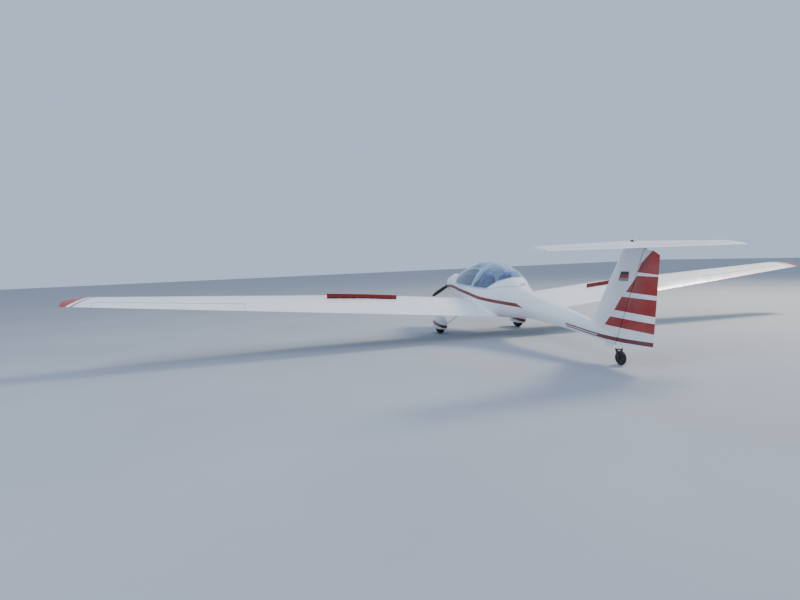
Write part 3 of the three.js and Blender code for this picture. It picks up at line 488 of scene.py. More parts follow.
def plate(outline, y0, y1):
    """A flat outline in the side view, as thick as y0 to y1."""
    return loft([[Vector((x, y, z)) for x, z in outline] for y in (y0, y1)])


def block(x0, x1, y0, y1, z0, z1):
    return plate([(x0, z0), (x1, z0), (x1, z1), (x0, z1)], y0, y1)


def turned(profile, sides, centre, axis=(0, 1, 0)):
    """A turned ring or disc: (radius, place) pairs of a closed profile, or of one that ends on the axis."""
    axis = Vector(axis).normalized()
    across = axis.orthogonal().normalized()
    other = axis.cross(across)
    points, faces = [], []
    count = len(profile)
    for c, s in circle(sides):
        out = across * c + other * s
        points += [Vector(centre) + out * radius + axis * along for radius, along in profile]
    ends_open = profile[0][0] < 1e-6
    for k in range(sides):
        a, b = k * count, ((k + 1) % sides) * count
        for n in range(count - 1 if ends_open else count):
            m = (n + 1) % count
            faces.append([a + n, a + m, b + m, b + n])
    return shape(points, faces)


def rod(start, end, radius, end_radius=None, *, sides):
    """A round bar between two points."""
    start, end = Vector(start), Vector(end)
    length = (end - start).length
    top = radius if end_radius is None else end_radius
    return turned([(0, 0), (radius, 0), (top, length), (0, length)], sides, start, end - start)


def bake(thing):
    """Applies a piece's modifiers."""
    graph = bpy.context.evaluated_depsgraph_get()
    old = thing.data
    thing.data = bpy.data.meshes.new_from_object(thing.evaluated_get(graph))
    thing.modifiers.clear()
    bpy.data.meshes.remove(old)
    return thing


def carve(thing, *tools, how="DIFFERENCE"):
    """Cuts, joins or keeps what is common with other shapes, which are used up."""
    for tool in tools:
        change = thing.modifiers.new("carve", "BOOLEAN")
        change.solver = "MANIFOLD"
        change.operation = how
        change.object = tool
        bake(thing)
        bpy.data.objects.remove(tool)
    return thing


def merged(*things):
    """Several shapes as one mesh, without cutting them."""
    work = bmesh.new()
    for thing in things:
        mesh = thing.data.copy()
        mesh.transform(thing.matrix_world)
        work.from_mesh(mesh)
        bpy.data.meshes.remove(mesh)
    for thing in things[1:]:
        bpy.data.objects.remove(thing)
    work.to_mesh(things[0].data)
    work.free()
    return things[0]


def copied(thing, change):
    """A copy of a shape, moved by a matrix."""
    mesh = thing.data.copy()
    mesh.transform(change)
    return linked("copy", mesh)


def mirror(thing):
    """A copy on the other side of the aircraft."""
    made = copied(thing, Matrix.Scale(-1, 4, (0, 1, 0)))
    made.data.flip_normals()
    return made


def put(name, thing, body, material, stands_for=(), drawing=IN_FLIGHT):
    """Takes a drawn shape to its place and hangs it on a body."""
    thing.name = name
    thing.data.name = name
    thing.data.transform(drawing)
    thing.data.materials.clear()
    thing.data.materials.append(material)
    thing.data.shade_smooth()
    thing.data.set_sharp_from_angle(angle=SMOOTH_ANGLE)
    if stands_for:
        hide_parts(*stands_for)
    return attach(thing, body)


def line_inside(thing, material, axis_z):
    """Gives the faces that look towards the fuselage's axis another material than the outside."""
    thing.data.materials.append(material)
    back = IN_FLIGHT.inverted()
    for face in thing.data.polygons:
        centre = back @ face.center
        outwards = Vector((0, centre.y, centre.z - axis_z)).normalized()
        if outwards.dot((back.to_3x3() @ face.normal).normalized()) < -0.1:
            face.material_index = 1


def put_pair(name, thing, body, material, node=None, drawing=IN_FLIGHT):
    """A left piece and its mirrored twin; a body name that ends in _ is completed with the side."""
    for side, half in (("left", thing), ("right", mirror(thing))):
        on = body + side if body.endswith("_") else body
        nodes = (f"{node}_{side}",) if node else ()
        put(f"{name}_{side}", half, on, material, nodes, drawing)


def read_table(rows, at):
    """The values of a table at any value of its first column, on a smooth curve through its rows."""
    last = len(rows) - 2
    i = next((n for n in range(last + 1) if at <= rows[n + 1][0]), last)
    a, b = rows[i], rows[i + 1]
    before, after = rows[max(i - 1, 0)], rows[min(i + 2, last + 1)]
    span = b[0] - a[0]
    t = (at - a[0]) / span
    values = []
    for c in range(1, len(a)):
        slope_a = (b[c] - before[c]) / (b[0] - before[0]) * span
        slope_b = (after[c] - a[c]) / (after[0] - a[0]) * span
        rise = b[c] - a[c]
        values.append(a[c] + t * (slope_a + t * (3 * rise - 2 * slope_a - slope_b
                                                 + t * (slope_a + slope_b - 2 * rise))))
    return values


def straight(rows, at):
    """The values of a table at any value of its first column, straight between its rows."""
    a, b = next((a, b) for a, b in zip(rows, rows[1:]) if at <= b[0])
    share = (at - a[0]) / (b[0] - a[0])
    return [p + share * (q - p) for p, q in zip(a[1:], b[1:])]


def steps(start, end, count):
    """Evenly spread values, both ends included."""
    return [start + (end - start) * n / count for n in range(count + 1)]


# %% [markdown]
# ## Fuselage
# One mould shapes the cowling, the cabin and the boom, so one table of sections serves them all. A section
# is wide and round above its widest line and fuller below it. The same sections, drawn in by the wall's
# thickness, give the inner face, and the two are cut from each other to leave a real shell.

# %% Fuselage sections
GAP = 0.3
BOOM_FRONT_X, FIREWALL_X, COWL_FRONT_X = 2400, 5270, 5900
SKIN, COWL_SKIN = 20, 12
RING_POINTS = 88
BODY_STEP = 45
# Columns: x, half width, top z, bottom z, z of the widest line, crown exponent, belly exponent
BODY = [
    (60, 42, 480, 262, 372, 2.0, 2.0), (720, 92, 512, 250, 382, 2.0, 2.0),
    (1600, 150, 556, 187, 372, 2.0, 2.0), (2200, 192, 584, 138, 360, 2.0, 2.1),
    (2450, 202, 594, 110, 350, 2.0, 2.2), (2700, 236, 634, 62, 342, 2.0, 2.4),
    (3000, 328, 738, -10, 338, 2.0, 2.7), (3400, 478, 903, -80, 330, 2.0, 3.0),
    (3800, 535, 954, -108, 320, 2.0, 3.2), (4200, 540, 936, -115, 310, 2.0, 3.2),
    (4600, 520, 862, -110, 300, 2.0, 3.0), (4950, 480, 724, -97, 282, 2.0, 2.7),
    (5273, 446, 560, -100, 245, 2.1, 2.5), (5500, 420, 474, -112, 220, 2.2, 2.5),
    (5700, 378, 424, -78, 212, 2.3, 2.4), (5900, 290, 368, 0, 210, 2.3, 2.3),
]


def body_ring(x, margin):
    """The fuselage's section at one place, drawn out or in by a margin."""
    half, top, bottom, widest, crown, belly = read_table(BODY, x)
    ring = []
    for c, s in circle(RING_POINTS, -math.pi / 2):
        power, rise = (2 / crown, top - widest) if s > 0 else (2 / belly, widest - bottom)
        ring.append(Vector((x, bent(c, power) * (half + margin), widest + bent(s, power) * (rise + margin))))
    return ring


def body_slice(x0, x1, margin):
    """The fuselage between two places, drawn out or in by a margin."""
    count = max(1, round((x1 - x0) / BODY_STEP))
    return loft([body_ring(x, margin) for x in steps(x0, x1, count)])


def body_inside(depth):
    return body_slice(BOOM_FRONT_X - 50, FIREWALL_X + 50, -depth)


# %% [markdown]
# The canopy's edge is one line in the side view: from the foot of the windscreen along the sill, up behind
# the seats and over the rear end. Drawn out or in by a margin and pulled across the cabin, it cuts the
# opening, the canopy and the glass from the same mould.

# %% Canopy outline
CANOPY_REAR_X = 2850
CANOPY_FRAME_DEPTH = 26
ARCH_X, HOOP_HALF = 4050, 22
SILL = [
    (5066, 740), (5030, 400), (4985, 347), (4920, 337), (4600, 372), (4000, 436), (3470, 490),
    (3280, 555), (3080, 615), (2950, 638), (CANOPY_REAR_X, 650),
]
ABOVE = 1100


def canopy_prism(margin):
    """The room of the canopy in the side view, drawn in by a margin and pulled across the cabin."""
    line = []
    for n, (x, z) in enumerate(SILL):
        px, pz = SILL[max(n - 1, 0)]
        qx, qz = SILL[min(n + 1, len(SILL) - 1)]
        length = math.hypot(qx - px, qz - pz)
        line.append((x + (qz - pz) / length * margin, z - (qx - px) / length * margin))
    back = CANOPY_REAR_X + margin
    outline = line[:-1] + [(back, line[-1][1]), (back, ABOVE), (line[0][0], ABOVE)]
    whole = plate(outline, -700, 700)
    room = block(back, FIREWALL_X, -701, 701, -300, ABOVE + 1)
    return carve(whole, room, how="INTERSECT")


# %% [markdown]
# The cabin shell is the outer mould less the inner one, with the canopy's opening sawn out. Its lower edges
# stay plain, because the wing covers them. Quarter-turn fasteners hold the two halves of the cowling.

# %% Cabin shell, boom and cowling
cabin_shell = carve(body_slice(BOOM_FRONT_X + GAP, FIREWALL_X, 0), body_inside(SKIN), canopy_prism(-2))
put("cabin_shell", cabin_shell, "airframe", fuselage_gelcoat, ("fuselage_shell",))
line_inside(cabin_shell, cabin_felt, 300)

SPLIT_Z = 230
PROP_X, PROP_Z = 5948, 245
INLET_Y, INLET_Z = 196, PROP_Z - 4


def cowl_half(z0, z1):
    """Half of the cowling: a hollow nose with two air inlets, a shaft hole and an outlet at its foot."""
    half = carve(body_slice(FIREWALL_X + GAP, COWL_FRONT_X, 0),
                 body_slice(FIREWALL_X - 10, COWL_FRONT_X - COWL_SKIN, -COWL_SKIN))
    for side in (1, -1):
        rings = [[Vector((x, side * INLET_Y + 38 * c, INLET_Z + 46 * s)) for c, s in circle(36)]
                 for x in (COWL_FRONT_X - 70, COWL_FRONT_X + 50)]
        carve(half, loft(rings))
    carve(half, rod((COWL_FRONT_X - 60, 0, PROP_Z), (COWL_FRONT_X + 20, 0, PROP_Z), 56, sides=40))
    carve(half, block(FIREWALL_X - 1, FIREWALL_X + 130, -150, 150, -200, 20))
    return carve(half, block(5000, 6100, -600, 600, z0, z1), how="INTERSECT")


COWLS = (("upper_cowl", SPLIT_Z + GAP, 900, "cowl_upper"), ("lower_cowl", -300, SPLIT_Z, "cowl_lower"))
for name, z0, z1, node in COWLS:
    half = cowl_half(z0, z1)
    put(name, half, "airframe", fuselage_gelcoat, (node,))
    line_inside(half, black_steel, SPLIT_Z)


def fastener(x, n):
    """A quarter-turn fastener: a shallow steel head on the skin, at one point of a section."""
    ring, ahead = body_ring(x, 0), body_ring(x + 5, 0)
    out = (ring[(n + 1) % RING_POINTS] - ring[n - 1]).cross(ahead[n] - ring[n]).normalized()
    if out.dot(Vector((0, ring[n].y, ring[n].z - SPLIT_Z))) < 0:
        out = -out
    return rod(ring[n] - out, ring[n] + out * 1.2, 6.5, 5, sides=16)


REAR_ROW = (9, 14, 18, 26, 31, 36, 41, 47, 52, 57, 62, 70, 74, 79)
SPLIT_ROW = (5380, 5480, 5580, 5680, 5780)
heads = [fastener(FIREWALL_X + 26, n) for n in REAR_ROW]
heads += [fastener(x, n) for x in SPLIT_ROW for n in (24, RING_POINTS - 24)]
put("cowl_fasteners", merged(*heads), "airframe", satin_steel)
print("cabin shell faces:", len(cabin_shell.data.polygons), "fasteners:", len(heads))

# %% [markdown]
# ## Fin and rudder
# The fin rises from the boom with a swept leading edge. Its rear edge is hollow and takes the round nose of
# the rudder. A symmetrical aerofoil gives the section at each height: round in front, thickest near a third
# and thin behind.

# %% Aerofoil sections
EDGE = 2


def aerofoil(chord, thickness, camber, count):
    """Section points from the trailing edge over the top to the nose and back below, as (along, up)."""
    spread = [(1 - math.cos(math.pi * n / count)) / 2 for n in range(count + 1)]

    def half(u):
        curve = 0.2969 * math.sqrt(u) - 0.126 * u - 0.3516 * u ** 2 + 0.2843 * u ** 3 - 0.1036 * u ** 4
        return 5 * thickness * curve * chord + EDGE / 2 * u

    points = [(u, 1) for u in spread[::-1]] + [(u, -1) for u in spread[1:]]
    return [(chord * (1 - u), chord * camber * 4 * u * (1 - u) + side * half(u)) for u, side in points]


FIN_BASE_Z, FIN_TOP_Z = 430, 1790
HINGE_LOW, HINGE_HIGH = (87, 264), (-266, 1748)
POST_LOW_RADIUS, POST_HIGH_RADIUS = 47, 28
POST_Z = (200, 1840)
HINGE_GAP = 6
# Columns: z, leading edge x, trailing edge x, thickness
FIN = [
    (240, 1650, -585, 96), (FIN_BASE_Z, 930, -575, 104), (520, 718, -577, 100),
    (1100, 455, -550, 84), (1700, 182, -521, 68), (FIN_TOP_Z, 141, -517, 66),
]


def fin_ring(z, lead, trail, thick):
    section = aerofoil(lead - trail, thick / (lead - trail), 0, 36)
    return [Vector((trail + along, side, z)) for along, side in section]


def fin_slice(z0, z1):
    return loft([fin_ring(z, *straight(FIN, z)) for z in steps(z0, z1, 40)])


def post_point(z):
    share = (z - HINGE_LOW[1]) / (HINGE_HIGH[1] - HINGE_LOW[1])
    return Vector((HINGE_LOW[0] + share * (HINGE_HIGH[0] - HINGE_LOW[0]), 0, z))


def behind_post(clear):
    """What lies behind the rudder post, with a round nose that thins upwards."""
    slope = (POST_HIGH_RADIUS - POST_LOW_RADIUS) / (HINGE_HIGH[1] - HINGE_LOW[1])
    radii = [POST_LOW_RADIUS + (z - HINGE_LOW[1]) * slope + clear for z in POST_Z]
    low, high = [post_point(z) for z in POST_Z]
    nose = rod(low, high, *radii, sides=64)
    rear = plate([(low.x, low.z), (high.x, high.z), (-900, high.z), (-900, low.z)], -150, 150)
    return carve(nose, rear, how="UNION")


fin = carve(fin_slice(FIN_BASE_Z - 60, FIN_TOP_Z), behind_post(HINGE_GAP))
put("fin_skin", fin, "airframe", fin_gelcoat, ("fin",))

boom = carve(body_slice(BODY[0][0], BOOM_FRONT_X, 0), behind_post(HINGE_GAP))
put("boom_skin", boom, "airframe", boom_gelcoat, ("tail_boom",))

FILLET = 34
FILLET_FOOT_Z, FILLET_PROUD = 495, 0.4
FILLET_HEIGHTS = (-14, 0.4, 1.5, 4, 8, 14, 22, 33.5)


def upper_side(x, y):
    """The fuselage's height above its widest line, at a place beside its middle plane."""
    half, top, _, widest, crown, _ = read_table(BODY, x)
    share = min(abs(y) / half, 0.98)
    return widest + (top - widest) * (1 - share ** crown) ** (1 / crown)


def fin_fillet_ring(height):
    """The fin's outline drawn out by the fillet's width at a height above the boom."""
    out = FILLET - math.sqrt(FILLET ** 2 - (FILLET - max(height, 0)) ** 2) if height > 0 else FILLET
    ring = fin_ring(height, *straight(FIN, FILLET_FOOT_Z + height))
    drawn = []
    for n, at in enumerate(ring):
        before, after = ring[n - 1], ring[(n + 1) % len(ring)]
        along = (after - before).normalized()
        moved = at + Vector((along.y, -along.x, 0)) * (out + FILLET_PROUD)
        drawn.append(Vector((moved.x, moved.y, upper_side(moved.x, moved.y) + height)))
    return drawn


fin_fillet = carve(loft([fin_fillet_ring(height) for height in FILLET_HEIGHTS]), behind_post(HINGE_GAP))
put("fin_fillet", fin_fillet, "airframe", plain_gelcoat)

RUDDER_LOW = [(240, 900, -585, 96), (FIN_BASE_Z, 900, -575, 104)]
rudder = carve(loft([fin_ring(*row) for row in RUDDER_LOW]), fin_slice(FIN_BASE_Z, FIN_TOP_Z), how="UNION")
outline = [(150, 268), (-560, 436), (-620, 446), (-620, 1675), (-379, 1748), (0, 1748)]
carve(rudder, plate(outline, -150, 150), behind_post(0), how="INTERSECT")
put("rudder_skin", rudder, "rudder", rudder_gelcoat, ("rudder",))
print("fin and rudder done")

# %% [markdown]
# ## Tailplane and elevator
# The tailplane sits on top of the fin with a straight trailing edge and swept leading edges. The elevator
# is its rear part, cut free along a round nose. A small dark red beacon stands on the middle.

# %% Tailplane and elevator
TAILPLANE_HALF, TAILPLANE_Z, TAILPLANE_TE_X = 1635, 1796, -426
ELEVATOR_HINGE_X, ELEVATOR_RADIUS = -297, 16
ELEVATOR_HALF = TAILPLANE_HALF - 90
# Columns: y from the middle, leading edge x, thickness share
TAILPLANE = [
    (0, 214, 0.105), (TAILPLANE_HALF - 60, 0, 0.1),
    (TAILPLANE_HALF - 25, -8, 0.098), (TAILPLANE_HALF, -26, 0.09),
]


def tail_ring(y):
    lead, thickness = straight(TAILPLANE, abs(y))
    section = aerofoil(lead - TAILPLANE_TE_X, thickness, 0, 32)
    return [Vector((TAILPLANE_TE_X + along, y, TAILPLANE_Z + up)) for along, up in section]


def tailplane_body():
    side = [row[0] for row in TAILPLANE[:0:-1]]
    return loft([tail_ring(y) for y in [-y for y in side] + [0] + side[::-1]])


def behind_elevator_hinge(radius, half):
    x, z = ELEVATOR_HINGE_X, TAILPLANE_Z
    nose = rod((x, -half, z), (x, half, z), radius, sides=40)
    rear = block(x - 400, x, -half, half, z - 60, z + 60)
    return carve(nose, rear, how="UNION")


room = behind_elevator_hinge(ELEVATOR_RADIUS + HINGE_GAP, ELEVATOR_HALF + HINGE_GAP)
tailplane = carve(tailplane_body(), room)
put("tailplane_skin", tailplane, "airframe", plain_gelcoat, ("tailplane",))
elevator = carve(tailplane_body(), behind_elevator_hinge(ELEVATOR_RADIUS, ELEVATOR_HALF), how="INTERSECT")
put("elevator_skin", elevator, "elevator", plain_gelcoat, ("elevator",))
dome = [(0, -30), (40, -30), (44, -6), (44, 22), (41, 30), (34, 42), (22, 51), (10, 55), (0, 56)]
put("beacon_dome", turned(dome, 48, (10, 0, TAILPLANE_Z), (0, 0, 1)), "airframe", red_lens)
print("tailplane done")

# %% [markdown]
# ## Wing
# Each wing is one long shell of 8 m. Its section is cambered, thick at the root and thin at the tip, with
# its nose twisted down a little towards the tip. The aileron is cut out of the trailing edge, and a narrow
# slot takes the airbrake.

# %% Wing sections
HALF_SPAN, WING_ROOT_Y = 8000, 300
AILERON_IN_Y, AILERON_OUT_Y, AILERON_CHORD = 5190, 7560, 0.25
BRAKE_IN_Y, BRAKE_OUT_Y, BRAKE_HEIGHT, BRAKE_PLACE = 2250, 3660, 92, 0.53
# Columns: y, trailing edge x, trailing edge z, chord, incidence in degrees, thickness
WING = [
    (0, 3252, -57, 1160, 4.2, 0.150), (2900, 3275, 203, 1150, 3.6, 0.145), (5500, 3296, 436, 860, 2.4, 0.140),
    (7700, 3313, 633, 600, 1.2, 0.130), (HALF_SPAN, 3316, 660, 470, 1.0, 0.110),
]
WING_CAMBER, WING_POINTS = 0.05, 44
TIP_SHARE = [(7400, 1), (7700, 1), (7850, 1), (7950, 0.985), (HALF_SPAN, 0.9)]
WING_STATIONS = [
    WING_ROOT_Y, 700, 1800, 2900, 4200, 5500, 6600, 7400, 7700, 7780, 7850, 7900, 7940, 7965, 7985, HALF_SPAN,
]


def chord_at(y):
    return straight(WING, y)[2]


def wing_place(y, along, up):
    """A distance ahead of the trailing edge and a height above the chord line."""
    x, z, _, incidence, _ = straight(WING, y)
    c, s = math.cos(math.radians(incidence)), math.sin(math.radians(incidence))
    return Vector((x + along * c - up * s, y, z + along * s + up * c))


def wing_point(y, ahead, height):
    """The same with a share of the chord."""
    return wing_place(y, ahead * chord_at(y), height)


def wing_ring(y):
    share = read_table(TIP_SHARE, y)[0] if y > TIP_SHARE[1][0] else 1
    section = aerofoil(chord_at(y) * share, straight(WING, y)[4], WING_CAMBER, WING_POINTS)
    return [wing_place(y, along, up) for along, up in section]


def wing_body():
    return loft([wing_ring(y) for y in WING_STATIONS])


def span_prism(y0, y1, section):
    between = [row[0] for row in WING if y0 < row[0] < y1]
    return loft([section(y) for y in [y0, *between, y1]])


def aileron_axis(y):
    return wing_point(y, AILERON_CHORD, chord_at(y) * 0.0375)


def aileron_block(y0, y1, clear):
    """The aileron's part of the wing: a round nose in front and everything behind it."""

    def section(y):
        centre = aileron_axis(y)
        x, z, chord = straight(WING, y)[:3]
        radius = chord * 0.037 + clear
        edge = math.acos(clear / radius)
        nose = [(centre.x + radius * math.cos(a), centre.z + radius * math.sin(a))
                for a in steps(edge, -edge, 22)]
        wall = centre.x + clear
        outline = [(x - 60, z + 110), (wall, z + 110), *nose, (wall, z - 90), (x - 60, z - 90)]
        return [Vector((px, y, pz)) for px, pz in outline]

    return span_prism(y0, y1, section)


def brake_blade(y0, y1, low, high, half_thick):
    """The airbrake's room in the wing, between two heights."""

    def section(y):
        shift = half_thick / chord_at(y)
        corners = ((-shift, low), (-shift, high), (shift, high), (shift, low))
        return [wing_point(y, BRAKE_PLACE + side, height) for side, height in corners]

    return span_prism(y0, y1, section)


WING_CREST, SLOT_FLOOR = 124, -10
wing = carve(wing_body(), body_slice(BOOM_FRONT_X + 10, COWL_FRONT_X, GAP))
carve(wing, aileron_block(AILERON_IN_Y - HINGE_GAP, AILERON_OUT_Y + HINGE_GAP, HINGE_GAP))
carve(wing, brake_blade(BRAKE_IN_Y - 0.5, BRAKE_OUT_Y + 0.5, SLOT_FLOOR, WING_CREST + 80, 14))
put_pair("wing_skin", wing, "airframe", wing_gelcoat, "wing")
aileron = carve(wing_body(), aileron_block(AILERON_IN_Y, AILERON_OUT_Y, 0), how="INTERSECT")
put_pair("aileron_skin", aileron, "aileron_", wing_gelcoat, "aileron")


def wing_top(x, y):
    """The height of the wing's upper side."""
    upper = wing_ring(y)[:WING_POINTS + 1]
    n = next((n for n in range(WING_POINTS) if upper[n + 1].x >= x), WING_POINTS - 1)
    a, b = upper[n], upper[n + 1]
    return a.z + (b.z - a.z) * (x - a.x) / max(b.x - a.x, 1e-6)


def beside_body(x, z):
    """The fuselage's half width at a height."""
    half, top, bottom, widest, crown, belly = read_table(BODY, x)
    edge, power = (top, crown) if z > widest else (bottom, belly)
    share = (z - widest) / (edge - widest)
    return half * max(1 - min(share, 1) ** power, 0) ** (1 / power)


def root_fillet_ring(x, size):
    """A hollow corner between the wing's upper side and the fuselage, filled to a round of the given size."""
    foot = wing_top(x, BESIDE_CABIN_Y)
    wall = beside_body(x, foot + size)
    centre = Vector((x, wall + size, foot + size))
    ring = []
    for a in steps(0, math.pi / 2, 8):
        y, z = centre.y - size * math.cos(a), centre.z - size * math.sin(a)
        ring.append(Vector((x, y, z + (wing_top(x, y) - foot) * math.sin(a))))
    ring[0].y -= 1.5
    ring[-1].z -= 1.5
    return [Vector((x, ring[0].y - BURIED, ring[0].z)), *ring, Vector((x, ring[-1].y, ring[-1].z - BURIED)),
            Vector((x, beside_body(x, foot) - BURIED, foot - BURIED))]


BESIDE_CABIN_Y, BURIED = 500, 9
FILLET_SIZES = (
    (3262, 16), (3300, 26), (3400, 42), (3550, 52), (3750, 50), (3950, 40), (4120, 28), (4250, 16),
)
places = steps(FILLET_SIZES[0][0], FILLET_SIZES[-1][0], 40)
root_fillet = loft([root_fillet_ring(x, read_table(FILLET_SIZES, x)[0]) for x in places])
put_pair("wing_root_fillet", root_fillet, "airframe", plain_gelcoat)
print("wings done")

# %% [markdown]
# ## Airbrakes
# The brakes stand raised, as they are left on a parked glider. A brake is a red plate on a lever drive. Its
# lower edge is a row of arches between two end posts, with a black rail behind them, and a cap strip runs
# along its top.

# %% Airbrakes
ARCH_COUNT, ARCH_TOP = 7, 30
ARCH_PITCH = (BRAKE_OUT_Y - BRAKE_IN_Y - 120) / ARCH_COUNT
BRAKE_FOOT = -36
CAP_HALF = 9


def brake_point(y, ahead_mm, height):
    return wing_point(y, BRAKE_PLACE + ahead_mm / chord_at(y), WING_CREST + height)


def brake_strip(y_values, ahead, low, high):
    """A strip along the brake that follows the wing's bend, between two places ahead and two heights."""
    face = ((ahead[0], low), (ahead[1], low), (ahead[1], high), (ahead[0], high))
    return loft([[brake_point(y, at, height) for at, height in face] for y in y_values])


def brake_edge():
    """The lower edge of the plate as (y, height) pairs, with its arches."""
    edge = [(BRAKE_IN_Y, BRAKE_FOOT)]
    for n in range(ARCH_COUNT):
        middle, half = BRAKE_IN_Y + 60 + ARCH_PITCH * (n + 0.5), ARCH_PITCH * 0.31
        edge.append((middle - half - 0.5, BRAKE_FOOT))
        edge += [(middle - half * math.cos(a), 2 + (ARCH_TOP - 2) * math.sin(a))
                 for a in steps(0, math.pi, 12)]
        edge.append((middle + half + 0.5, BRAKE_FOOT))
    return edge + [(BRAKE_OUT_Y, BRAKE_FOOT)]


brake = loft([[brake_point(y, *at) for at in ((-3, low), (3, low), (3, BRAKE_HEIGHT), (-3, BRAKE_HEIGHT))]
              for y, low in brake_edge()])
along = (BRAKE_IN_Y, WING[1][0], BRAKE_OUT_Y)
cap = brake_strip(along, (-CAP_HALF, CAP_HALF), BRAKE_HEIGHT - 5, BRAKE_HEIGHT)
post_middles = [BRAKE_IN_Y + 14, *[BRAKE_IN_Y + 60 + ARCH_PITCH * n for n in (3, 4)], BRAKE_OUT_Y - 14]
posts = [brake_strip((y - 12, y + 12), (-5, 5), BRAKE_FOOT, BRAKE_HEIGHT - 5) for y in post_middles]
put_pair("airbrake_plate", merged(brake, cap, *posts), "airbrake_", red_lacquer, "airbrake")
rail = brake_strip((BRAKE_IN_Y + 30, WING[1][0], BRAKE_OUT_Y - 30), (5.5, 8), BRAKE_FOOT + 2, ARCH_TOP + 6)
put_pair("airbrake_rail", rail, "airbrake_", black_steel)
print("airbrakes done")

# %% [markdown]
# ## Canopy
# One bubble of blown acrylic is bonded over a white frame. The frame is a rim along the sill and the
# windscreen's foot, an opaque tail behind the seats, and a hoop that stands inside the bubble. The acrylic
# overlaps the rim from outside, so that the window seems to begin at the sill itself.

# %% Canopy
CANOPY_GAP = 3.5
CANOPY_RIM, CANOPY_LAP, ACRYLIC = 26, 6, 4
# The clear part ends on this line behind the seats, as (x, z)
WINDOW_REAR = [(3540, 440), (3464, 507), (3377, 572), (3299, 648), (3236, 692), (3140, 752), (3040, 800)]
HINGE_X, HINGE_Z = 2850, 713


def window_prism(margin):
    """The clear part of the canopy in the side view, drawn in by a margin."""
    edge = [(x + margin * 0.6, z + margin * 0.8) for x, z in WINDOW_REAR]
    ahead = plate([*edge, (3040, ABOVE), (5400, ABOVE), (5400, 200), (3540, 200)], -702, 702)
    return carve(canopy_prism(CANOPY_GAP + margin), ahead, how="INTERSECT")


def canopy_mould():
    return carve(body_slice(CANOPY_REAR_X - 30, FIREWALL_X, 0), canopy_prism(CANOPY_GAP), how="INTERSECT")


def hoop_ring(turn, start):
    """One section of the hoop: a rounded bar that stands off the bubble, except at its feet."""
    off = min(1, 2.4 * math.sin((turn - start) / (math.pi - 2 * start) * math.pi))
    return rounded_bar(turn, 8 + 12 * off, 24 + 100 * off, HOOP_HALF)


def rounded_bar(turn, outer, inner, wide):
    """A rounded section across the arch, between two depths under the bubble."""
    half, top, _, widest, _, _ = read_table(BODY, ARCH_X)
    middle, deep = (outer + inner) / 2, (inner - outer) / 2
    out = Vector((0, math.cos(turn), math.sin(turn)))
    foot = Vector((ARCH_X, (half - middle) * out.y, widest + (top - widest - middle) * out.z))
    return [foot + Vector((bent(c, 0.55) * wide, 0, 0)) + out * bent(s, 0.55) * deep for c, s in circle(20)]


def hoop_shade_strip_ring(turn):
    """A black strip along the hoop's inner edge, over the heads: painted shade for the hoop's underside."""
    return rounded_bar(turn, 116, 130, HOOP_HALF * 0.7)


rim = carve(canopy_mould(), body_inside(CANOPY_FRAME_DEPTH), window_prism(CANOPY_RIM))
carve(rim, carve(window_prism(CANOPY_LAP), body_inside(ACRYLIC + GAP)))
HOOP_START = 0.19
hoop = loft([hoop_ring(turn, HOOP_START) for turn in steps(HOOP_START, math.pi - HOOP_START, 60)])
barrel = rod((HINGE_X, -22, HINGE_Z), (HINGE_X, 22, HINGE_Z), 8, sides=24)
arm = block(HINGE_X + 2, HINGE_X + 35, -20, 20, HINGE_Z - 34, HINGE_Z + 2)
put("canopy_rim", merged(rim, barrel, arm), "canopy", plain_gelcoat, ("canopy_frame",))
put("canopy_hoop", hoop, "canopy", plain_gelcoat)
# The black strip under the hoop is painted shade: dark rubber put where the hoop's underside lies in shade.
SHADE_STRIP_START = HOOP_START + 0.35
pad = loft([hoop_shade_strip_ring(turn) for turn in steps(SHADE_STRIP_START, math.pi - SHADE_STRIP_START, 50)])
put("hoop_shade_strip", pad, "canopy", tyre_rubber)
bubble = carve(canopy_mould(), body_inside(ACRYLIC))
carve(bubble, window_prism(CANOPY_LAP + GAP), how="INTERSECT")
put("canopy_bubble", bubble, "canopy", canopy_acrylic,
    ("canopy_glass_front", "canopy_glass_rear"))
lugs = []
for side in (1, -1):
    lugs.append(rod((HINGE_X, side * 23, HINGE_Z), (HINGE_X, side * 58, HINGE_Z), 8, sides=24))
    lugs.append(plate([(2812, HINGE_Z - 50), (2842, HINGE_Z - 50), (2846, HINGE_Z), (2838, HINGE_Z)],
                      *sorted((side * 25, side * 56))))
put("canopy_lugs", merged(*lugs), "airframe", plain_gelcoat)
print("bubble faces:", len(bubble.data.polygons))

# %% [markdown]
# ## Spinner and propeller
# The propeller is drawn upright round its own shaft and then turned to the angle at which it was left
# standing. The spinner is a spun shell with a screwed back plate. Each blade is twisted: steep at the root,
# flat at the tip.

# %% Spinner and propeller
PROP_REST_ANGLE, PROP_RADIUS = math.radians(31), 775
SPINNER_RADIUS, SPINNER_LENGTH = 140, 262.4
BLADE_REACH = 757
NOSE = (IN_FLIGHT @ Matrix.Translation((PROP_X, 0, PROP_Z))
        @ Matrix.Rotation(-math.pi / 2 - PROP_REST_ANGLE, 4, "X"))


def spinner_profile(wall):
    """(radius, place along the shaft) pairs of the spinner, drawn in by the wall."""
    base = [(0, wall - 38), (SPINNER_RADIUS - wall, wall - 38)]
    if not wall:
        base += [(SPINNER_RADIUS, -23), (138.6, -22), (138.6, -20), (SPINNER_RADIUS, -19)]
    base += [(138.5 - wall, 0)]
    nose = []
    for t in steps(0, 1, 30):
        radius = 137 * (1 - t ** 1.7) ** 0.58
        nose.append((max(radius - wall, 0), 40 + t * (SPINNER_LENGTH - 40 - 2 * wall)))
    return base + nose


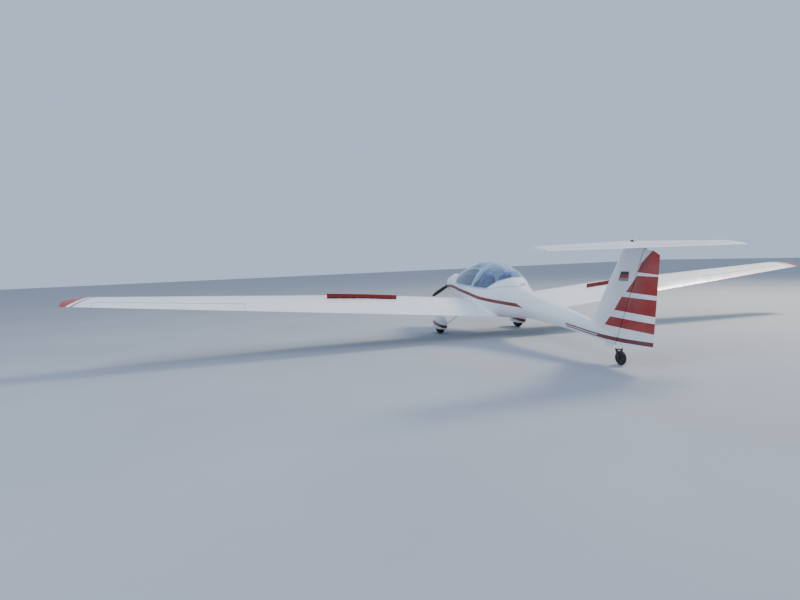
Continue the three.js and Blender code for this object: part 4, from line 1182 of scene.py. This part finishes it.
spinner = carve(turned(spinner_profile(0), 72, (0, 0, 0), (1, 0, 0)),
                turned(spinner_profile(6), 72, (0, 0, 0), (1, 0, 0)),
                rod((0, 0, -180), (0, 0, 180), 52, sides=40), rod((-60, 0, 0), (46, 0, 0), 76.5, sides=60))
screws = [rod((-10, c * 136, s * 136), (-10, c * 140.5, s * 140.5), 4.5, 3.2, sides=12)
          for c, s in circle(12, math.radians(15))]
put("spinner_shell", spinner, "propeller", plain_gelcoat, ("spinner",), drawing=NOSE)
put("spinner_screws", merged(*screws), "propeller", satin_steel, drawing=NOSE)

# Columns: radius, chord, pitch in degrees, thickness share
BLADE = [
    (60, 70, 62, 0.5), (150, 92, 50, 0.3), (300, 116, 36, 0.17), (500, 118, 25, 0.13), (680, 96, 19, 0.11),
    (745, 70, 17, 0.1), (PROP_RADIUS, 26, 16, 0.1),
]


def blade_ring(radius):
    chord, pitch, share = read_table(BLADE, radius)
    pitch = math.radians(pitch)
    ring = []
    for along, up in aerofoil(chord, share, 0, 16):
        across = along - 0.6 * chord
        ring.append(Vector((up * math.cos(pitch) + across * math.sin(pitch),
                            across * math.cos(pitch) - up * math.sin(pitch), radius)))
    return ring


def blade():
    rings = [blade_ring(radius) for radius in (*range(60, 740, 20), 745, 753, 760, 766, 771, PROP_RADIUS)]
    return loft([[Vector((p.x, p.y, p.z * BLADE_REACH / PROP_RADIUS)) for p in ring] for ring in rings])


one = blade()
hub = turned([(0, -44), (76, -44), (76, -30), (62, -26), (62, 28), (76, 32), (76, 46), (0, 46)], 48,
             (0, 0, 0), (1, 0, 0))
bolts = [rod((46, 50 * c, 50 * s), (55, 50 * c, 50 * s), 8, sides=6) for c, s in circle(6)]
other = copied(one, Matrix.Rotation(math.pi, 4, "X"))
put("propeller_blades", merged(one, other), "propeller", blade_lacquer, ("propeller",), NOSE)
put("propeller_hub", merged(hub, *bolts), "propeller", satin_steel, drawing=NOSE)
print("propeller stands at", round(math.degrees(PROP_REST_ANGLE)), "degrees")

# %% [markdown]
# ## Main gear
# A sprung glass-fibre leg comes out of each side of the belly and ends at the axle. The wheel turns inside
# a cover that is open below. A tyre has a rounded tread with four grooves and a raised ring on its side;
# the wheel is a casting with holes round its hub.

# %% Main gear
WHEELBASE, MAIN_Y, AXLE_Z = 4645, 981, 180
SPAT_SKIN = 6
# Columns: x from the axle, half width, top z, bottom z
SPAT = [
    (-335, 16, 240, 185), (-275, 60, 302, 120), (-195, 93, 352, 60), (-60, 109, 398, 40), (85, 109, 398, 40),
    (175, 101, 358, 60), (232, 79, 308, 110), (268, 27, 255, 185),
]


def spat_ring(x, margin, squeeze=1):
    half, top, bottom = read_table(SPAT, x)
    middle, high = (top + bottom) / 2, (top - bottom) / 2
    wide, tall = max(half * squeeze - margin, 2), max(high * squeeze - margin, 2)
    return [Vector((WHEELBASE + x, MAIN_Y + bent(c, 0.8) * wide, middle + bent(s, 0.8) * tall))
            for c, s in circle(48, -math.pi / 2)]


def spat_body(margin):
    first, last = SPAT[0][0] + margin, SPAT[-1][0] - margin
    rings = [spat_ring(x, margin) for x in steps(first, last, 44)]
    if not margin:
        tail = [[Vector((p.x - 5, p.y, p.z)) for p in spat_ring(first, 0, 0.62)]]
        nose = [[Vector((p.x + 5, p.y, p.z)) for p in spat_ring(last, 0, 0.62)]]
        rings = tail + rings + nose
    return loft(rings)


mouth = block(WHEELBASE - 400, WHEELBASE + 400, MAIN_Y - 200, MAIN_Y + 200, 0, 112)
axle_hole = rod((WHEELBASE, MAIN_Y - 150, AXLE_Z), (WHEELBASE, MAIN_Y, AXLE_Z), 16.5, sides=32)
spat = carve(spat_body(0), spat_body(SPAT_SKIN), mouth, axle_hole)
put_pair("wheel_cover", spat, "airframe", spat_gelcoat, "spat", ON_GROUND)

# Columns: place along the leg, x, y, z, chord, thickness
LEG = [
    (0, 4560, 230, 20, 110, 34), (1, 4565, 330, -80, 108, 32), (2, 4580, 520, -250, 96, 28),
    (3, 4598, 700, -400, 84, 25), (4, 4612, 820, -482, 76, 24), (5, 4619, MAIN_Y - 118, -506, 76, 30),
]


def leg_ring(at):
    x, y, z, chord, thick = read_table(LEG, at)
    before, after = [Vector(read_table(LEG, min(max(at + d, 0), 5))[:3]) for d in (-0.05, 0.05)]
    along = (after - before).normalized() if at < 4.9 else Vector((0, 1, 0))
    normal = Vector((1, 0, 0)).cross(along).normalized()
    return [Vector((x + chord / 2 * c, y, z)) + normal * (thick / 2) * s for c, s in circle(32)]


leg = carve(loft([leg_ring(at) for at in steps(0, 5, 30)]), body_slice(BOOM_FRONT_X + 10, COWL_FRONT_X, GAP))
put_pair("sprung_leg", leg, "airframe", plain_gelcoat, "gear_leg")


def tyre(radius, width, rim, centre, grooves):
    """A tyre with a rounded crown: half of its profile is drawn, and the other half mirrors it."""
    half, size = width / 2, radius / 180
    side = [
        (rim, half * 0.62), (rim + 4, half * 0.72), (rim + 8, half * 0.78), (rim + 12, half * 0.86),
        (rim + (radius - rim) * 0.22, half * 0.95), (rim + (radius - rim) * 0.45, half),
        (rim + (radius - rim) * 0.5, half), (rim + (radius - rim) * 0.52, half * 0.975),
        (radius - 40 * size, half * 0.97), (radius - 26 * size, half * 0.9),
        (radius - 16 * size, half * 0.78), (radius - 8 * size, half * 0.62), (radius - 3 * size, half * 0.44),
    ]
    crown = []
    for place in grooves:
        y, deep = place * half, 5 * size
        crown += [(radius - 1.2 * size, y + 4 * size), (radius - deep, y + 2.5 * size),
                  (radius - deep, y - 2.5 * size), (radius - 0.6 * size, y - 4 * size)]
    upper = side + crown
    profile = upper + [(r, -y) for r, y in upper[::-1]]
    return turned(profile, 96, centre)


def wheel(width, rim, bore, centre, holes):
    """A cast wheel: a turned disc with round holes and bolts between them."""
    half, edge = width / 2, rim - GAP
    face = [
        (bore, half * 0.7), (bore + 12, half * 0.7), (bore + 15, half * 0.62), (bore + 17, half * 0.34),
        (edge - 15, half * 0.28), (edge - 10, half * 0.36), (edge - 8, half * 0.56), (edge - 5, half * 0.6),
        (edge, half * 0.6),
    ]
    made = turned(face + [(r, -y) for r, y in face[::-1]], 72, centre)
    ring = (bore + 16 + edge - 13) / 2
    centre = Vector(centre)
    for c, s in circle(holes):
        ends = [centre + Vector((ring * c, y, ring * s)) for y in (-width, width)]
        carve(made, rod(*ends, (edge - bore) * 0.11, sides=24))
    bolts = []
    for c, s in circle(holes, math.pi / holes):
        ends = [centre + Vector((ring * c, y, ring * s)) for y in (-half * 0.4, half * 0.4)]
        bolts.append(rod(*ends, (edge - bore) * 0.08, sides=6))
    return merged(made, *bolts)


main_centre = (WHEELBASE, MAIN_Y, AXLE_Z)
main_tyre = tyre(180, 124, 70, main_centre, (0.3, 0.1))
put_pair("main_wheel_tyre", main_tyre, "wheel_", tyre_rubber, "main_tyre", ON_GROUND)
casting = wheel(124, 70, 16.5, main_centre, 6)
put_pair("main_wheel_casting", casting, "wheel_", cast_aluminium, "main_rim", ON_GROUND)
print("main gear done")

# %% [markdown]
# ## Tail wheel
# The tail wheel swings in a steel fork on a plumb spindle. Its bracket is bolted under the boom's end. A
# short coil spring stands on each steering arm, where the rudder's linkage pulls.

# %% Tail wheel
SPINDLE_X, CROWN_Z = 40, 232
tail_centre = (0, 0, 105)
put("tail_wheel_tyre", tyre(105, 62, 52, tail_centre, (0.34,)), "tail_wheel", tyre_rubber,
    ("tail_tyre",), ON_GROUND)
put("tail_wheel_casting", wheel(62, 52, 8.5, tail_centre, 5), "tail_wheel", black_steel,
    ("tail_rim",), ON_GROUND)
CHEEK = [
    (-16, 98), (-10, 91), (0, 88), (10, 91), (16, 98), (60, 214), (60, CROWN_Z), (14, CROWN_Z), (-16, 118),
]
fork_parts = [plate(CHEEK, 40, 46), plate(CHEEK, -46, -40), block(14, 60, -46, 46, CROWN_Z - 10, CROWN_Z)]
fork_parts += [rod((SPINDLE_X, 0, CROWN_Z - 4), (SPINDLE_X, 0, 258), 12, sides=32),
               rod((0, -45, 105), (0, 45, 105), 8, sides=32)]
for side in (1, -1):
    fork_parts.append(rod((0, side * 45, 105), (0, side * 53, 105), 12, sides=6))
    steering_arm = [(22, 226), (50, 226), (50, CROWN_Z), (22, CROWN_Z)]
    fork_parts.append(plate(steering_arm, *sorted((side * 45, side * 70))))
put("tail_wheel_fork", merged(*fork_parts), "tail_fork", black_steel, ("tail_fork",), ON_GROUND)


def coil(foot, height, radius, wire, turns):
    """A coil spring that stands upright: a round wire along a screw line."""
    rings = []
    for k in range(turns * 14 + 1):
        turn = 2 * math.pi * k / 14
        out = Vector((math.cos(turn), math.sin(turn), 0))
        middle = Vector(foot) + out * radius + Vector((0, 0, wire + (height - 2 * wire) * k / (turns * 14)))
        rings.append([middle + (out * c + Vector((0, 0, 1)) * s) * wire for c, s in circle(8)])
    return loft(rings)


springs = merged(*[coil((36, side * 58, CROWN_Z), 28, 7.5, 1.6, 5) for side in (1, -1)])
put("steering_springs", springs, "tail_fork", satin_steel, drawing=ON_GROUND)

# %% [markdown]
# ## Cabin
# Two seats stand side by side. Each is a thin moulded tub of glass fibre with loose cushions of blue cloth.
# The tub follows one line in the side view, from the front lip under the thighs up to the shoulders, and
# its back is rounded at the top.

# %% Seat tubs
SEAT_LINE = [
    (4575, 118), (4520, 106), (4430, 84), (4330, 50), (4250, 38), (4180, 46), (4130, 84), (4090, 160),
    (4010, 330), (3925, 515), (3860, 625), (3812, 690), (3796, 712),
]
SEAT_IN_Y, SEAT_OUT_Y = 46, 378
SEAT_MIDDLE_Y = (SEAT_IN_Y + SEAT_OUT_Y) / 2
SHELL = 7


def seat_normal(n):
    """Upwards and forwards from the seat's line at one of its points."""
    before, after = SEAT_LINE[max(n - 1, 0)], SEAT_LINE[min(n + 1, len(SEAT_LINE) - 1)]
    length = math.hypot(after[0] - before[0], after[1] - before[1])
    return ((after[1] - before[1]) / length, -(after[0] - before[0]) / length)


def seat_place(n, out):
    (x, z), (nx, nz) = SEAT_LINE[n], seat_normal(n)
    return (x + nx * out, z + nz * out)


def bevelled(thing, width):
    change = thing.modifiers.new("bevel", "BEVEL")
    change.width = width
    change.segments = 2
    change.limit_method = "ANGLE"
    return bake(thing)


count = len(SEAT_LINE)
sheet = [seat_place(n, 0) for n in range(count)] + [seat_place(n, -SHELL) for n in range(count - 1, -1, -1)]
wing_high = [6, 26, 44, 60, 72, 80, 84, 78, 66, 58, 48, 30, 4]
cheek = [seat_place(n, wing_high[n]) for n in range(count)]
cheek += [seat_place(n, -SHELL) for n in range(count - 1, -1, -1)]
tub = plate(sheet, SEAT_IN_Y, SEAT_OUT_Y)
cheeks = [plate(cheek, y, y + SHELL) for y in (SEAT_IN_Y, SEAT_OUT_Y - SHELL)]
carve(tub, *cheeks, how="UNION")
crown = [Vector((3500, SEAT_MIDDLE_Y + y, z)) for y, z in (
    (-200, -100), (-200, 430), (-176, 520), (-140, 600), (-104, 660), (-60, 700), (0, 714),
    (60, 700), (104, 660), (140, 600), (176, 520), (200, 430), (200, -100))]
carve(tub, loft([crown, [p + Vector((1300, 0, 0)) for p in crown]]), how="INTERSECT")
foot = plate([(4500, 70), (4060, 60), (4085, -60), (4480, -60)], SEAT_IN_Y + 40, SEAT_OUT_Y - 40)
carve(foot, plate([(4460, 80), (4100, 80), (4120, -70), (4440, -70)], SEAT_IN_Y + 50, SEAT_OUT_Y - 50))
# The tubs wear the blue cloth darkened as painted shade for the seat backs.
put_pair("seat_tub", merged(bevelled(tub, 2.5), foot), "airframe", seat_cover_darkened_as_painted_shade, "seat")

# %% [markdown]
# A cushion starts as a flat padded block that follows the tub. Air pressure in a cloth simulation swells it
# and makes its own creases, and a cap keeps it within its cover.

# %% Cushions
REMESH_MM, SWELL_MM, SWELL_FRAMES = 6, 24, 20


def pad_rings(first, last, half_width, thick, squeeze):
    """Rounded sections across the seat, from one point of its line to another."""
    rings = []
    for k in steps(0, 1, 14):
        at = first + (last - first) * k
        n, share = min(int(at), len(SEAT_LINE) - 2), at - min(int(at), len(SEAT_LINE) - 2)
        low = [seat_place(n, SHELL)[c] * (1 - share) + seat_place(n + 1, SHELL)[c] * share for c in (0, 1)]
        nx, nz = [seat_normal(n)[c] * (1 - share) + seat_normal(n + 1)[c] * share for c in (0, 1)]
        size = (1 - abs(2 * k - 1) ** 6) ** 0.5 * (1 - squeeze) + squeeze
        width = half_width * (1 - 0.1 * abs(2 * k - 1) ** 3)
        ring = []
        for c, s in circle(28):
            up = (bent(s, 0.6) * 0.5 + 0.5) * thick * size
            ring.append(Vector((low[0] + nx * up, SEAT_MIDDLE_Y + bent(c, 0.5) * width, low[1] + nz * up)))
        rings.append(ring)
    return rings


def swollen(thing):
    """Swells a cushion with air pressure in the cloth simulation, and keeps each point within the cap."""
    thing.data.transform(Matrix.Scale(MM, 4))
    grid = thing.modifiers.new("grid", "REMESH")
    grid.mode = "VOXEL"
    grid.voxel_size = REMESH_MM * MM
    bake(thing)
    start = [v.co.copy() for v in thing.data.vertices]
    cloth = thing.modifiers.new("air", "CLOTH")
    cloth.settings.use_pressure = True
    cloth.settings.uniform_pressure_force = 4
    cloth.settings.effector_weights.gravity = 0
    cloth.point_cache.frame_end = SWELL_FRAMES
    for number in range(1, SWELL_FRAMES + 1):
        bpy.context.scene.frame_set(number)
    bake(thing)
    bpy.context.scene.frame_set(1)
    for vertex, old in zip(thing.data.vertices, start):
        moved = vertex.co - old
        if moved.length > SWELL_MM * MM:
            vertex.co = old + moved.normalized() * SWELL_MM * MM
    thing.data.transform(Matrix.Scale(1 / MM, 4))
    finer = thing.modifiers.new("finer", "SUBSURF")
    finer.levels = 1
    return bake(thing)


# Columns: name, first and last place along the seat's line, half width, thickness
CUSHIONS = (
    ("thigh_cushion", 0.4, 5.4, 148, 52), ("back_cushion", 6.9, 10.7, 152, 92),
    ("headrest", 10.7, 12.0, 96, 104),
)
pads = []
for name, first, last, half, thick in CUSHIONS:
    pad = loft(pad_rings(first, last, half, thick, 0.35))
    swollen(pad)
    pads.append((name, pad))
for name, pad in pads:
    for side, half in (("left", pad), ("right", mirror(pad))):
        put(f"{name}_{side}", half, "airframe", blue_cloth)
print("cushions:", [(name, len(pad.data.vertices)) for name, pad in pads])

# %% [markdown]
# The panel carries round instruments with steel bezels and pale pointers, and a stack of small units in the
# middle. The sticks rise out of leather boots, and three knobs sit on the console between the seats.

# %% Panel, sticks and console
PANEL_LOW, PANEL_HIGH = Vector((4820, 0, 330)), Vector((4790, 0, 560))
panel_up = (PANEL_HIGH - PANEL_LOW).normalized()
panel_out = Vector((-panel_up.z, 0, panel_up.x))


def on_panel(y, up, out=0):
    return PANEL_LOW + panel_up * up + panel_out * out + Vector((0, y, 0))


bezels, faces, pointers = [], [], []
for y, up, radius in ((-330, 150, 36), (-245, 165, 40), (-155, 165, 40), (245, 165, 40), (155, 165, 40),
                      (330, 150, 36), (-245, 75, 28), (-165, 75, 28), (245, 75, 28), (165, 75, 28)):
    ring = [(radius - 5, -2), (radius + 3, -2), (radius + 3, 5), (radius - 2, 8), (radius - 5, 4)]
    bezels.append(turned(ring, 40, on_panel(y, up), panel_out))
    faces.append(turned([(0, -1), (radius - 4, -1), (radius - 4, 2), (0, 2)], 40, on_panel(y, up), panel_out))
    turn = math.radians(37 * up + 3 * y)
    tip = on_panel(y, up, 4) + (panel_up * math.cos(turn) + Vector((0, math.sin(turn), 0))) * radius * 0.75
    pointers.append(rod(on_panel(y, up, 4), tip, 1.8, 0.7, sides=8))
    for c, s in circle(12):
        out = (panel_up * c + Vector((0, s, 0))) * radius
        ends = [on_panel(y, up, 2.2) + out * far for far in (0.66, 0.84)]
        pointers.append(rod(*ends, 1, sides=6))
units, buttons = [], []
for n, up in enumerate((45, 95, 145, 190)):
    corners = [(-78, up - 20), (78, up - 20), (78, up + 20), (-78, up + 20)]
    unit = loft([[on_panel(y, h, out) for y, h in corners] for out in (-4, 9)])
    units.append(bevelled(unit, 2))
    for k in range(4):
        at = on_panel(-60 + 40 * k, up - 10, 9)
        buttons.append(rod(at, at + panel_out * 5, 4.5, sides=12))
put("instrument_bezels", merged(*bezels), "airframe", black_steel)
put("instrument_faces", merged(*faces, *units), "airframe", grained_plastic)
put("instrument_marks", merged(*pointers, *buttons), "airframe", ivory_plastic)

boot = [
    (0, 0), (52, 0), (54, 6), (47, 12), (49, 20), (41, 27), (43, 36), (34, 44), (35, 53), (25, 62), (26, 70),
    (15, 80), (0, 80),
]
grip = [(0, 0), (14, 0), (17, 8), (15.5, 30), (17.5, 60), (16, 92), (18, 112), (15, 128), (8, 134), (0, 135)]
stick_foot, stick_knee, stick_head = [Vector((x, 215, z)) for x, z in ((4640, -59), (4600, 180), (4570, 330))]
stick = merged(rod(stick_foot, stick_knee, 12, sides=24), rod(stick_knee, stick_head, 11, sides=24))
put_pair("stick_tube", stick, "airframe", black_steel, "control_stick")
lean = stick_head - stick_knee
soft_parts = merged(turned(boot, 40, stick_foot, (0, 0, 1)),
                    turned(grip, 32, stick_head - lean.normalized() * 125, lean))
put_pair("stick_boot_and_grip", soft_parts, "airframe", grained_plastic)
knobs = []
for n, y in enumerate((-16, 0, 16)):
    root = Vector((4660, y, 124))
    tip = Vector((4700 - 14 * n, y, 176 + 6 * n))
    knobs.append(rod(root, tip, 3, sides=12))
    knobs.append(turned([(0, -9), (5, -8), (9, -3), (9, 3), (5, 8), (0, 9)], 20, tip, tip - root))
put("console_knobs", merged(*knobs), "airframe", red_lacquer)

# %% [markdown]
# The rest of the construction shows as it is, in the right finish: bulkheads, carpet, engine and axles.

# %% Finishes of the kept construction
KEPT = {
    "firewall": satin_steel, "rear_bulkhead": painted_plywood, "cabin_floor": needled_carpet,
    "instrument_panel": grained_plastic, "centre_console": grained_plastic, "engine_block": cast_aluminium,
    "exhaust_pipe": burnt_steel, "main_axle_left": satin_steel, "main_axle_right": satin_steel,
    "tail_bracket": plain_gelcoat,
}
for node, material in KEPT.items():
    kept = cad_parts[node]
    kept.data.materials.clear()
    kept.data.materials.append(material)
    kept.data.shade_smooth()
    kept.data.set_sharp_from_angle(angle=SMOOTH_ANGLE)
print("kept as built:", len(KEPT))

# %% [markdown]
# ## Floor and light
# A plain pale floor and soft light: a broad sky from the world, a large soft lamp high on the right where
# the sun stands, and a weaker one on the left.

# %% Stage
FLOOR_HALF = 60
floor_material, tree, shader, where = new_material("pale_floor", Roughness=0.9)
tree.links.new(mixed(tree, cloud(tree, where, 2500, 0, 1), linear("aaaeb4"), linear("a3a7ae")),
               shader.inputs["Base Color"])
floor_mesh = bpy.data.meshes.new("floor")
floor_mesh.from_pydata([(x, y, 0) for x, y in ((-1, -1), (1, -1), (1, 1), (-1, 1))], [], [(0, 1, 2, 3)])
floor_mesh.transform(Matrix.Scale(FLOOR_HALF, 4))
floor_mesh.materials.append(floor_material)
linked("floor", floor_mesh)

world = bpy.data.worlds.new("sky")
bpy.context.scene.world = world
world.use_nodes = True
world.node_tree.nodes["Background"].inputs["Color"].default_value = linear("bccfea")
world.node_tree.nodes["Background"].inputs["Strength"].default_value = 1.05


def lamp(name, location, size, power, colour):
    """A large round lamp that faces the aircraft."""
    data = bpy.data.lights.new(name, "AREA")
    data.shape = "DISK"
    data.size = size
    data.energy = power
    data.color = linear(colour)[:3]
    made = linked(name, data)
    made.location = location
    made.rotation_euler = (Vector((0, 0, 1)) - Vector(location)).to_track_quat("-Z", "Y").to_euler()


lamp("sun_side", (2, -15, 14), 6, 4300, "fff0d8")
lamp("shade_side", (-9, 13, 14), 12, 1900, "d6e4ff")
